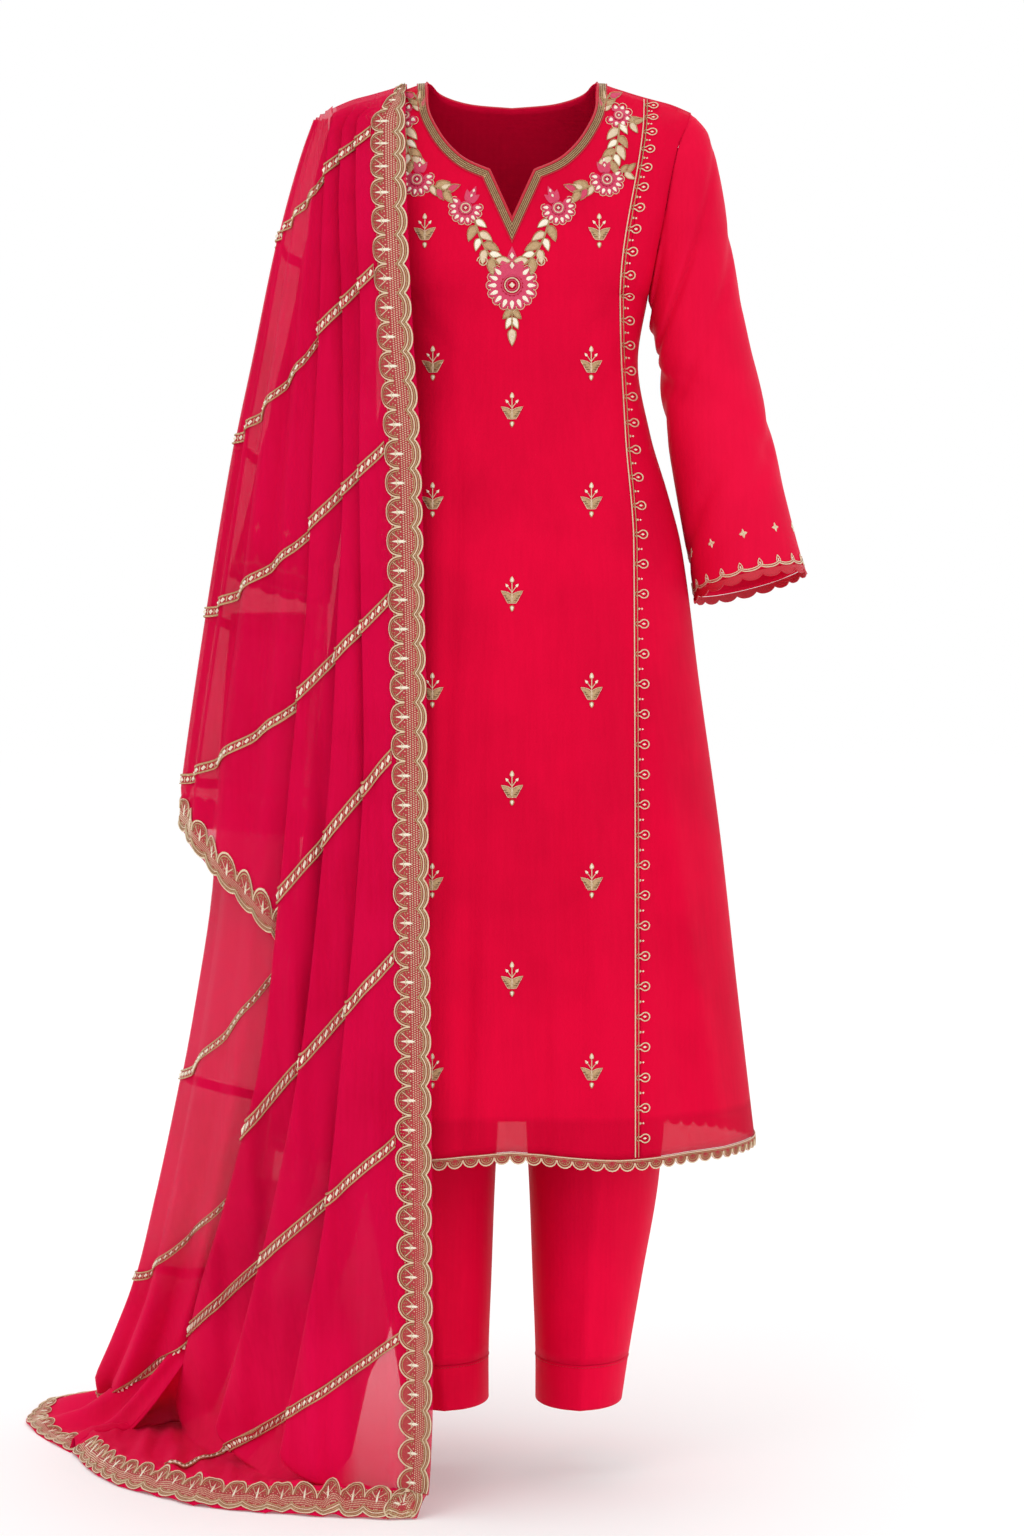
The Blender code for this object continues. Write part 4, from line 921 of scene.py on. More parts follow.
# How far soft folds stand out of the kameez or sink into it: where, how long and how wide each is.
CREASES_FRONT = table(
    "across height lean length width out",
    (-0.062, 0.820, 0.05, 0.260, 0.010, -0.0022),
    (-0.020, 0.640, 0.02, 0.230, 0.013, 0.0026),
    (0.018, 0.900, 0.03, 0.170, 0.009, -0.0016),
    (0.052, 0.700, -0.05, 0.300, 0.012, -0.0026),
    (0.086, 0.560, -0.08, 0.210, 0.014, 0.0030),
    (-0.090, 0.520, 0.08, 0.220, 0.013, 0.0028),
    (-0.045, 0.470, 0.03, 0.120, 0.009, -0.0030),
    (0.030, 0.450, -0.02, 0.120, 0.010, -0.0030),
    (0.112, 0.820, -0.06, 0.150, 0.008, -0.0018),
    (0.150, 0.560, -0.12, 0.240, 0.012, -0.0034),
    (0.185, 0.520, -0.16, 0.200, 0.012, 0.0036),
    (-0.150, 0.560, 0.12, 0.240, 0.012, -0.0034),
    (-0.185, 0.520, 0.16, 0.200, 0.012, 0.0036),
    (0.098, 1.190, 0.90, 0.045, 0.007, -0.0016),
    (-0.098, 1.190, -0.90, 0.045, 0.007, -0.0016),
    (0.104, 1.130, 0.50, 0.050, 0.007, -0.0014),
    (0.062, 1.060, 0.10, 0.070, 0.009, 0.0014),
    (-0.050, 1.080, -0.10, 0.080, 0.009, 0.0012),
)
CREASES_BACK = table(
    "across height lean length width out",
    (-0.070, 0.780, 0.06, 0.280, 0.012, -0.0026),
    (-0.028, 0.620, 0.03, 0.260, 0.014, 0.0030),
    (0.022, 0.840, -0.02, 0.200, 0.010, -0.0022),
    (0.060, 0.640, -0.05, 0.290, 0.013, -0.0028),
    (0.098, 0.560, -0.08, 0.220, 0.014, 0.0032),
    (-0.105, 0.540, 0.09, 0.210, 0.013, 0.0030),
    (0.160, 0.560, -0.13, 0.230, 0.012, -0.0034),
    (-0.160, 0.560, 0.13, 0.230, 0.012, -0.0032),
    (0.070, 1.150, 0.70, 0.050, 0.008, -0.0020),
    (-0.074, 1.155, -0.75, 0.050, 0.008, -0.0020),
    (0.040, 1.080, 0.20, 0.060, 0.009, -0.0022),
    (-0.036, 1.060, -0.20, 0.070, 0.010, -0.0020),
)
# All creases are drawn deeper by this much.
FOLD_DEPTH = 1.5


def creases(rows, across, height):
    """How far the creases move the cloth out at these places."""
    total = 0.0
    names = ("across", "height", "lean", "length", "width", "out")
    for x, h, lean, length, width, out in zip(*(rows[name] for name in names)):
        off = (across - x - lean * (height - h)) / width
        total = total + out * np.exp(-(off**2) - ((height - h) / length) ** 4)
    return total * FOLD_DEPTH


def depth_with_creases(across, height, side):
    """The kameez's depth with its creases, which fade out by its seams and shoulders."""
    rows = CREASES_FRONT if side == "front" else CREASES_BACK
    share = np.clip(np.abs(across) / body(height, "half"), 0, 1)
    still = ease((1 - share) * 9) * ease((shoulder(across) - height) / 0.06)
    return body_depth(across, height, side) + creases(rows, across, height) * still


def kameez_place(across, height, side, lift=0.0):
    """Points of the kameez at these places, moved out by lift."""
    across, height = np.broadcast_arrays(np.asarray(across, float), np.asarray(height, float))
    half = body(height, "half")
    across = np.clip(across, -half, half)
    sign = -1.0 if side == "front" else 1.0
    point = np.stack([across, sign * (depth_with_creases(across, height, side) + SEAM), height], axis=-1)
    if np.any(lift):
        step = 0.002
        wide = np.clip(across, -half + step, half - step)
        slope_x = body_depth(wide + step, height, side) - body_depth(wide - step, height, side)
        slope_z = body_depth(wide, height + step, side) - body_depth(wide, height - step, side)
        out = np.stack([-slope_x / (2 * step), np.full(across.shape, sign), -slope_z / (2 * step)], axis=-1)
        out /= np.linalg.norm(out, axis=-1, keepdims=True)
        point = point + out * np.asarray(lift, float)[..., None]
    point[..., 2] -= SHOULDER_HEIGHT
    return point


def neckline(share):
    """Across and height of the front neckline's right half: straight sides of the slit, then a curve."""
    across, height = zip(*NECK_FRONT)
    corner = NECK_FRONT_SHARES[1]
    straight = share / corner
    x = curve(NECK_FRONT_SHARES[1:], across[1:], share)
    h = curve(NECK_FRONT_SHARES[1:], height[1:], share)
    x = np.where(share < corner, straight * across[1], x)
    h = np.where(share < corner, height[0] + straight * (height[1] - height[0]), h)
    return x, h


def hem_line(across):
    """The height of the kameez's hem."""
    half = body(HEM_ROW, "half")
    return curve(HEM["share"], HEM["height"], np.abs(across) / half)


def down_rows(top_x, top_h, low_x, columns, side):
    """Rows from a shaped top edge to the underarm, then on down to the hem, as points of the kameez."""
    rows = []
    for f in np.linspace(0, 1, TOP_ROWS, endpoint=False):
        x = (1 - f) * top_x + f * low_x(UNDERARM)
        h = (1 - f) * top_h + f * UNDERARM
        x = np.where(columns > 0.999, body(h, "half"), np.where(columns < -0.999, -body(h, "half"), x))
        rows.append(kameez_place(x, h, side))
    hem = hem_line(low_x(HEM_ROW))
    for f in np.linspace(0, 1, LOW_ROWS):
        h = UNDERARM + (hem - UNDERARM) * f
        rows.append(kameez_place(low_x(h), h, side))
    return np.array(rows)


def princess(height):
    """How far the princess seam lies from the middle."""
    return curve(PRINCESS["height"], PRINCESS["across"], height)


def centre_cloth():
    """The front between the princess seams, whose top is the neckline and a piece of each shoulder."""
    columns = spread((-1, -NECK_FRONT_SHARES[1], 0, NECK_FRONT_SHARES[1], 1), (44, 12, 12, 44))
    share = np.abs(columns)
    last = NECK_FRONT_SHARES[-1]
    x, h = neckline(np.minimum(share, last))
    beyond = (share - last) / (1 - last)
    x = np.where(share > last, x + (SHOULDER_SEAM - x) * beyond, x)
    h = np.where(share > last, shoulder(x), h)
    inset = 1 - SEAM / 0.13

    def low(height):
        return columns * princess(height) * inset

    points = down_rows(x * np.sign(columns) * inset, h, low, columns * 0, "front")
    return Cloth(np.arange(len(points)), columns, points)


def side_cloth(mirror):
    """The front from a princess seam to the side seam."""
    v = np.linspace(0, 1, 44)
    x = SHOULDER_SEAM + SEAM + (ARM_TIP - SHOULDER_SEAM - SEAM) * v

    def low(height):
        seam, half = princess(height) + SEAM, body(height, "half")
        return seam + (half - seam) * v

    points = down_rows(x, shoulder(x), low, np.where(v == 1, 1.0, 0.0), "front")
    if mirror:
        points = points[:, ::-1] * (-1, 1, 1)
    return Cloth(np.arange(len(points)), v, points)


def back_cloth():
    """The whole back, whose top is the neckline and both shoulders."""
    shares, outer = (0.0, 0.22, 0.40, 0.56, 0.72, 0.90, 1.0), [0.120, 0.155, ARM_TIP]
    across = [x for x, _ in NECK_BACK] + outer
    height = [h for _, h in NECK_BACK] + [float(shoulder(x)) for x in outer]
    columns = np.linspace(-1, 1, 111)
    share = np.abs(columns)
    x = curve(shares, across, share)
    h = np.where(share < shares[3], curve(shares, height, share), shoulder(x))

    def low(height):
        return columns * body(height, "half")

    points = down_rows(x * np.sign(columns), h, low, columns, "back")
    return Cloth(np.arange(len(points)), columns, points[:, ::-1])


def lining_cloth(side):
    """The lining's front or back, a little way inside the kameez."""
    shares, heights = np.linspace(-1, 1, 71), np.linspace(LINING_TOP, LINING_HEM, 70)
    h, share = np.meshgrid(heights, shares, indexing="ij")
    half = body(h, "half")
    points = kameez_place(share * half, h, side, np.full(h.shape, -LINING_GAP))
    points[..., 0] = np.clip(points[..., 0], -half + 0.004, half - 0.004)
    if side == "back":
        points = points[:, ::-1]
    return Cloth(-heights, shares, points)


SLEEVE_CREASES = table(
    "share angle lean length width out",
    (0.10, 150, 60, 0.10, 16, -0.0040),
    (0.18, 185, 40, 0.12, 14, 0.0045),
    (0.26, 120, 90, 0.12, 15, -0.0040),
    (0.38, 60, 80, 0.14, 14, -0.0026),
    (0.45, 160, -50, 0.12, 16, -0.0042),
    (0.55, 95, -60, 0.16, 15, -0.0030),
    (0.62, 215, 50, 0.14, 16, -0.0040),
    (0.72, 40, 70, 0.16, 14, -0.0024),
    (0.78, 130, 60, 0.14, 14, -0.0030),
    (0.88, 290, 40, 0.14, 18, -0.0034),
    (0.30, 300, 50, 0.16, 18, -0.0034),
    (0.55, 330, -40, 0.16, 16, -0.0026),
)


def sleeve_cloth(mirror):
    """The sleeve's tube: angle 0 lies outside the arm, a quarter turn on lies in front."""
    shares, angles = spread((0, 0.08, 1), (16, 84)), np.linspace(0, 360, 73)
    share, angle = np.meshgrid(shares, angles, indexing="ij")
    turn = np.radians(angle)

    def at(name):
        return curve(SLEEVE["share"], SLEEVE[name], share)

    slimmer = (LEFT_SLEEVE_SLIMMER if mirror else 0.0) * ease(share / 0.08)
    bulge = creases_round(SLEEVE_CREASES, share, angle) * ease(share / 0.1)
    inner_x, inner_h = at("inner"), at("inner_height")
    outer_x, outer_h = at("outer") - slimmer, at("outer_height")
    forward = -np.sin(turn)
    swell = 1 + bulge / 0.058
    back = np.where((forward > 0) & (share == 0), ARMHOLE_BACK / ARMHOLE_FRONT, 1.0)
    x = (inner_x + outer_x) / 2 + (outer_x - inner_x) / 2 * np.cos(turn) * swell
    y = forward * at("depth") * back * swell
    h = (inner_h + outer_h) / 2 + (outer_h - inner_h) / 2 * np.cos(turn) * swell
    h = h - SLEEVE_TILT * forward * ease(share)
    reach = 0.02 + 0.065 * (1 - np.cos(turn))
    x = x + (1 - ease(share / reach)) * (body(h, "half") - x) + ARMHOLE_GAP
    points = np.stack([x, y, h - SHOULDER_HEIGHT], axis=-1)[:, ::-1]
    if mirror:
        points = points[:, ::-1] * (-1, 1, 1)
    return Cloth(shares, np.arange(len(angles)), points, ring=True)


def creases_round(rows, share, angle):
    """The creases of a tube, by the share of the way down it and the angle round it."""
    total = 0.0
    for s, a, lean, length, width, out in zip(*rows.values()):
        off = (angle - a - lean * (share - s) / length + 180) % 360 - 180
        total = total + out * np.exp(-((off / width) ** 2) - ((share - s) / length) ** 2)
    return total * FOLD_DEPTH


# Across a leg is the turn from its inner side at 0 to its outer one at 1.
TROUSER_CREASES = table(
    "height across lean length width out",
    (0.620, 0.30, 0.6, 0.050, 0.10, -0.0035),
    (0.560, 0.66, -0.6, 0.060, 0.10, -0.0030),
    (0.470, 0.34, 0.5, 0.045, 0.09, -0.0030),
    (0.430, 0.72, -0.7, 0.050, 0.08, -0.0028),
    (0.340, 0.28, 0.4, 0.040, 0.09, -0.0026),
    (0.260, 0.70, -0.5, 0.050, 0.08, -0.0024),
    (0.175, 0.36, 0.6, 0.030, 0.09, -0.0022),
)


def leg_place(height, turn, side, mirror):
    """Points of one side of a leg: its own tube below the crotch, and half of the hips above it."""
    def at(name):
        return curve(TROUSERS["height"], TROUSERS[name], height)

    if side == "front":
        sign, wave = -1.0, creases(TROUSER_CREASES, turn, height)
    else:
        swapped = {**TROUSER_CREASES, "across": [1 - across for across in TROUSER_CREASES["across"]]}
        sign, wave = 1.0, 0.6 * creases(swapped, turn, height - 0.03)
    pressed = PRESSED * np.exp(-(((turn - 0.5) / 0.035) ** 2)) * ease((CROTCH_LOW - height) / 0.1)
    depth = at(side) + (wave + pressed) * ease(turn * 8) * ease((1 - turn) * 8)
    hip_angle, leg_angle = turn * math.pi / 2, turn * math.pi
    hip_x, hip_y = at("hip") * np.sin(hip_angle), sign * depth * np.cos(hip_angle)
    leg_x, leg_y = at("centre") - at("leg") * np.cos(leg_angle), sign * depth * np.sin(leg_angle)
    below = ease((CROTCH_TOP - height) / (CROTCH_TOP - CROTCH_LOW))
    x = (1 - below) * hip_x + below * leg_x + SEAM
    y = (1 - below) * hip_y + below * leg_y + sign * SEAM
    return np.stack([x * mirror, y, height - SHOULDER_HEIGHT + 0 * turn], axis=-1)


def trouser_cloth(side, mirror):
    """One leg's front or back, from the waist to the cuff's seam."""
    heights = np.linspace(LEG_TOP, CUFF_SEAM, 76)
    turns = np.linspace(0, 1, 37)
    h, turn = np.meshgrid(heights, turns, indexing="ij")
    points = leg_place(h, turn, side, mirror)
    if (side == "back") != (mirror == -1):
        points = points[:, ::-1]
    return Cloth(np.arange(len(heights)), turns, points)


def cuff_cloth(mirror):
    """The turned hem of a leg, all the way round it."""
    heights = np.linspace(CUFF_SEAM - LEG_GAP, LEG_HEM, 12)
    turns = np.linspace(0, 1, 37)
    h, turn = np.meshgrid(heights, turns, indexing="ij")
    front, back = leg_place(h, turn, "front", mirror), leg_place(h, turn, "back", mirror)[:, ::-1]
    front[:, [0, -1], 1] = back[:, [0, -1], 1] = 0.0
    ring = np.concatenate([front, back[:, 1:]], axis=1)
    if mirror == -1:
        ring = ring[:, ::-1]
    return Cloth(np.arange(len(heights)), np.arange(ring.shape[1]), ring, ring=True)


def waist_cloth():
    """The waistband, ruffled by its elastic."""
    half, front, back = (TROUSERS[name][0] for name in ("hip", "front", "back"))
    heights = np.linspace(WAIST_TOP, LEG_TOP + LEG_GAP, 10)
    angles = np.linspace(0, 2 * math.pi, 145)
    h, angle = np.meshgrid(heights, angles, indexing="ij")
    depth = np.where(np.sin(angle) < 0, front, back)
    ruffle = 1 + 0.006 * np.sin(angle * 36)
    x, y = half * np.cos(angle) * ruffle, depth * np.sin(angle) * ruffle
    points = np.stack([x, y, h - SHOULDER_HEIGHT], axis=-1)
    return Cloth(np.arange(len(heights)), angles, points, ring=True)


# ---------------------------------------------------------------- dupatta forms


def fall_plans(heights, fuller=False):
    """The front fall seen from above at each height: border, three faces and the tucks between them."""
    def at(name):
        return curve(FALL["height"], FALL[name], heights)[:, None]

    def place(name):
        return np.concatenate([at(name), at(name + "_y")], axis=1)

    tuck, gap = at("tuck"), at("gap")
    if fuller:
        low = ease((TUCK_MORE_FROM - heights) / TUCK_MORE_OVER)[:, None]
        tuck = np.maximum(tuck * (1 + TUCK_MORE * low), TUCK_LOW * low)
    start = place("border")
    plan = [start]
    for name in ("third", "second", "first"):
        edge = place(name)
        reach = np.linalg.norm(start - edge, axis=1, keepdims=True)
        back = (start - edge) / reach
        inward = np.concatenate([-back[:, 1:], back[:, :1]], axis=1)
        if name == "third":
            plan.append(start - back * np.minimum(LACE_WIDTH, LACE_MOST * reach))
        plan.append((plan[-1] + edge) / 2)
        under = edge + back * tuck + inward * gap
        start = under + inward * gap
        plan += [edge, edge + inward * gap, under, start]
    return np.stack(plan[:-1], axis=1)


FALL_WAVES = table(
    "across_rate height_rate phase out",
    (95.0, 1.7, 0.4, 0.45),
    (160.0, -2.6, 2.1, 0.30),
    (240.0, 3.8, 4.4, 0.18),
    (61.0, 0.9, 1.2, 0.50),
)


def waves(across, height):
    """Soft upright folds whose lines lean and wander a little."""
    total = 0.0
    for rate, lean, phase, out in zip(*FALL_WAVES.values()):
        wander = 0.5 * np.sin(height * 3.1 + phase)
        total = total + out * np.sin(across * rate + height * lean * 3 + phase + wander)
    return total


def foot_and_hem(plan, key, at):
    """Where a layer of the dupatta meets the floor and where its hem lies, at these places along it."""
    lines = ([curve(plan[key], plan[f"{part}_{axis}"], at) for axis in "xy"] for part in ("foot", "hem"))
    return [np.stack(line, axis=-1) for line in lines]


def at_height(line, height):
    """The line on the plan as points at one height."""
    return np.concatenate([line, np.full((len(line), 1), height)], axis=1)


def fall_cloth():
    """The pleated front, from the ridge on the shoulder down to the floor and along it to the hem."""
    knots = FALL_SHARES
    columns = spread(knots, (12, 10, 12, 3, 6, 3, 10, 12, 3, 6, 3, 14, 14, 3, 6))
    ridge_ways, hang, ways = np.linspace(-1, 0, 13)[:-1], np.linspace(0, 1, 150), np.linspace(1, 2, 41)[1:]
    heights = FALL_TOP - hang * (FALL_TOP - FALL["height"][-1])
    plans = curve(knots, np.swapaxes(fall_plans(heights, True), 0, 1), columns)
    plans = np.swapaxes(plans, 0, 1)
    hanging = np.concatenate([plans, np.broadcast_to(heights[:, None, None], plans.shape[:2] + (1,))], axis=2)
    share = columns / knots[-1]
    top_x = RIDGE_START + (RIDGE_END - RIDGE_START) * share
    top = shoulder(top_x) + FALL_LIFT
    ridge = np.stack([top_x, np.full(len(top_x), -RIDGE_HALF), top], axis=1)
    x, y, h = hanging[0].T
    below = np.stack([(top_x + x) / 2, RIDGE_FORWARD * y - RIDGE_BULGE, top - RIDGE_DOWN * (top - h)], axis=1)
    over = curve((-1, -0.5, 0, 0.06), [ridge, below, hanging[0], hanging[9]], ridge_ways)
    foot, hem = map(at_height, foot_and_hem(FOOT, "share", columns), (FOOT_HEIGHT, REST_HEIGHT))
    middle = (foot + hem) / 2
    floor = curve((0.96, 1, FOOT_AT, FLOOR_MIDDLE, 2), [hanging[-7], hanging[-1], foot, middle, hem], ways)
    points = np.concatenate([over, hanging, floor])
    rows = np.concatenate([ridge_ways, hang, ways])
    size = 0.0060 * ease((rows + 0.6) / 0.8) * (0.35 + 0.65 * ease(rows * 1.2)) * (1 - 0.5 * ease(rows - 1))
    away = waves(points[..., 0], points[..., 2]) * size[:, None]
    still = ease(np.abs(columns) / 0.10)
    points[..., 1] -= away * (0.25 + 0.75 * still)[None]
    lift = np.abs(waves(points[..., 0] * 1.3 + 0.3, points[..., 1] * 2.0)) * 0.006
    lift = lift * ease((rows - 1.25) / 0.3)[:, None] * (0.4 + 0.6 * ease((2 - rows) / 0.2))[:, None]
    points[..., 2] += lift
    length = np.linalg.norm(hem - foot, axis=1)[None]
    left = np.clip((2 - rows) / (2 - FOOT_AT), 0, 2)[:, None] * length
    stand = HEM_STAND * np.minimum(left / HEM_LACE, 1) * np.exp(-np.maximum(left - HEM_LACE, 0) / 0.05)
    points[..., 2] += stand * ease((rows - 1.1) / 0.3)[:, None]
    points[..., 2] -= SHOULDER_HEIGHT
    return Cloth(rows, -columns[::-1], points[:, ::-1])


def fall_row(share, way):
    """The row of the front fall at a way: its height, or below nought its way along the floor."""
    lowest = FALL["height"][-1]
    foot, hem = foot_and_hem(FOOT, "share", share)
    length = np.linalg.norm(hem - foot, axis=-1)
    hanging = (FALL_TOP - way) / (FALL_TOP - lowest)
    landing = 1 + (FOOT_AT - 1) * (lowest - way) / lowest
    lying = FOOT_AT + (2 - FOOT_AT) * (-way / length)
    return np.where(way >= lowest, hanging, np.where(way >= 0, landing, np.minimum(lying, 2)))


def arc_places(plan, height, turn, tucked, deep):
    """Places on the arc that runs from behind the first pleat, round the outline, to the back."""
    shape = height.shape
    flat = np.minimum(height, FALL_TOP + 0.018).ravel()
    pleat = fall_plans(flat).reshape(shape + (len(FALL_SHARES), 2))
    gap = curve(FALL["height"], FALL["gap"], flat).reshape(shape)[..., None]
    edge, fold, under = (pleat[..., i, :] for i in (FIRST_EDGE, FIRST_TURNED, FIRST_UNDER))
    inward = (fold - edge) / np.linalg.norm(fold - edge, axis=-1, keepdims=True)
    start = edge + (under - fold) * tucked[..., None] + inward * gap * deep

    def at(name):
        return curve(plan["height"], plan[name], height)

    out = np.stack([at("out"), at("out_y")], axis=-1)
    back = np.stack([at("back"), at("back_y")], axis=-1)
    angle = np.radians(turn)[..., None]
    near = start + (out - start) * np.concatenate([np.sin(angle), 1 - np.cos(angle)], axis=-1)
    far = out + (back - out) * np.concatenate([1 - np.sin(angle), -np.cos(angle)], axis=-1)
    return np.where(turn[..., None] <= 90, near, far)


def row_ways(rows, turn):
    """The height of each table row at these turns."""
    first, out, back = (np.asarray(rows[name])[:, None] for name in ("first", "out", "back"))
    near = first + (out - first) * np.sin(np.radians(np.minimum(turn, 90)))
    return np.where(turn <= 90, near, out + (back - out) * (turn - 90) / 90)


def cape_cloth():
    """The cape over the arm."""
    count = len(CAPE_ROWS["first"])
    rows = spread(range(count), (10, 9, 2, 9, 8, 2, 8, 8, 2, 10, 2, 3, 5))
    ways = curve(np.arange(count), row_ways(CAPE_ROWS, ARC_COLUMNS), rows)
    turn = np.broadcast_to(ARC_COLUMNS, ways.shape)
    tucked = np.broadcast_to(np.interp(rows, (0, 1, 2), (0.4, 0.4, 0.5))[:, None], ways.shape)
    place = arc_places(CAPE, ways, turn, tucked, 2.0)
    points = np.concatenate([place, ways[..., None] - SHOULDER_HEIGHT], axis=-1)[:, ::-1]
    return rippled(Cloth(rows, -ARC_COLUMNS[::-1], points), CAPE_RIPPLES, rows / rows[-1])


def lower_cloth():
    """The layer below the cape, which runs on along the floor as the train."""
    count = len(LOWER_ROWS["first"])
    rows = spread(range(count), (10, 14, 2, 9, 9, 2, 8, 8, 2))
    ways = curve(np.arange(count), row_ways(LOWER_ROWS, ARC_COLUMNS), rows)
    turn = np.broadcast_to(ARC_COLUMNS, ways.shape)
    lowest = LOWER["height"][-1]
    tucked = np.full(ways.shape, 0.3)
    place = arc_places(LOWER, np.maximum(ways, lowest), turn, tucked, 3.8)
    foot, hem = foot_and_hem(TRAIN, "turn", ARC_COLUMNS)
    share = np.clip(1 - ways / lowest, 0, 1)[..., None]
    place = (1 - share) * place + share * foot
    height = np.where(ways < lowest, lowest + (FOOT_HEIGHT - lowest) * share[..., 0], ways)
    hanging = np.concatenate([place, height[..., None]], axis=-1)
    more = np.linspace(0, 1, 26)[1:]
    middle, end = at_height((foot + hem) / 2, TRAIN_MIDDLE_HEIGHT), at_height(hem, REST_HEIGHT)
    lying = curve((0, 0.5, 1), [hanging[-1], middle, end], more)
    points = np.concatenate([hanging, lying])[:, ::-1]
    points[..., 2] -= SHOULDER_HEIGHT
    rows = np.concatenate([rows, rows[-1] + 3 * more])
    return rippled(Cloth(rows, -ARC_COLUMNS[::-1], points), LOWER_RIPPLES, rows / rows[-1])


# Long soft folds of the layers beside the arm: the turns at its top and its foot, its width and its depth.
CAPE_RIPPLES = table(
    "start end width out",
    (24, 14, 3, 0.0050), (32, 24, 3, -0.0050), (42, 36, 4, 0.0065), (52, 48, 3, -0.0060),
    (60, 58, 3, 0.0055), (68, 70, 4, -0.0060), (78, 82, 3, 0.0060), (88, 92, 4, -0.0055),
    (98, 104, 4, 0.0060), (108, 116, 4, -0.0060), (122, 130, 5, 0.0065), (134, 142, 5, -0.0055),
    (148, 154, 5, 0.0060),
)
LOWER_RIPPLES = table(
    "start end width out",
    (26, 16, 5, 0.0075), (38, 32, 5, -0.0075), (50, 50, 6, 0.0085), (64, 70, 5, -0.0070),
    (78, 88, 6, 0.0080), (92, 108, 7, -0.0070), (110, 128, 7, 0.0075), (132, 148, 7, -0.0065),
)


def rippled(cloth, ripples, down):
    """The cloth moved along its ways out in long folds that deepen downwards."""
    turn = -cloth.columns[None]
    total = 0.0
    for start, end, width, out in zip(*ripples.values()):
        line = start + (end - start) * down[:, None]
        total = total + out * np.exp(-(((turn - line) / (width * (0.8 + 0.7 * down[:, None]))) ** 2))
    size = (0.25 + 0.75 * ease(down * 1.6)) * (1 - 0.75 * ease((down - 0.86) / 0.14))
    moved = cloth.points + cloth.outs * (total * size[:, None] * ease(turn / 22))[..., None]
    floor = REST_HEIGHT - SHOULDER_HEIGHT
    moved[..., 2] = np.maximum(moved[..., 2], floor)
    return Cloth(cloth.rows, cloth.columns, moved)


def back_fall_cloth():
    """The end behind the shoulder, from the ridge down to its hem."""
    heights = np.linspace(1.375, 0.655, 90)
    shares = np.linspace(0, 1, 54)
    h, share = np.meshgrid(heights, shares, indexing="ij")

    def at(name):
        return curve(BACK_FALL["height"], BACK_FALL[name], h)

    x = at("inner") + (at("outer") - at("inner")) * share
    y = at("inner_y") + (at("outer_y") - at("inner_y")) * share**1.5
    folds = 0.0035 * np.sin(share * 17 + 0.8 * np.sin(h * 5)) + 0.0015 * np.sin(share * 39 + h * 4)
    y = y + folds * ease((1.36 - h) / 0.3) * ease(share * 6)
    hanging = np.stack([x, y, h], axis=-1)
    top_x = x[0]
    top = shoulder(top_x) + FALL_LIFT
    ridge = np.stack([top_x, np.full(len(top_x), RIDGE_HALF), top], axis=1)
    below = np.stack([top_x, 0.55 * y[0] + RIDGE_BULGE, (top + h[0]) / 2 + 0.004], axis=1)
    rows = np.linspace(-1, 0, 13)[:-1]
    over = curve((-1, -0.5, 0, 0.05), [ridge, below, hanging[0], hanging[5]], rows)
    points = np.concatenate([over, hanging])
    points[..., 2] -= SHOULDER_HEIGHT
    down = (heights[0] - heights) / (heights[0] - heights[-1])
    return Cloth(np.concatenate([rows, down]), shares, points)


# ---------------------------------------------------------------- lace, tape and braid patterns

# The border's lace, and the pitches and depths of the others.
LACE_PITCH, LACE_DEPTH, LACE_CENTRE = 0.0288, 0.0360, 0.0200
END_LACE_PITCH, CAPE_LACE, TRAIN_LACE, BACK_END_LACE = 0.0265, 0.032, 0.028, 0.035
BACK_EDGE_PITCH, BACK_EDGE_LACE, BACK_EDGE_SHARE, BACK_END_ROWS = 0.0200, 0.019, 0.2, 0.0486
SCALLOP_DIP, ARCH_RISE = 0.0050, 0.0155
# The scalloped cords: distance from the outer edge, radius and thread.
LACE_CORDS = (
    (0.0008, 0.00080, "light"),
    (0.0029, 0.00060, "gold"),
    (0.0049, 0.00065, "light"),
    (0.0069, 0.00055, "gold"),
)


def arch(middle, base, half, rise, start=0.0, stop=180.0, count=11):
    """Places along an arch."""
    turn = np.radians(np.linspace(start, stop, count))
    return np.stack([middle - half * np.cos(turn), base + rise * np.sin(turn)], axis=1)


def scallop(share, dip):
    """How far a scalloped line has drawn in from its tips, by the share of its repeats."""
    return dip * np.abs(2 * (share % 1.0) - 1) ** 2.4


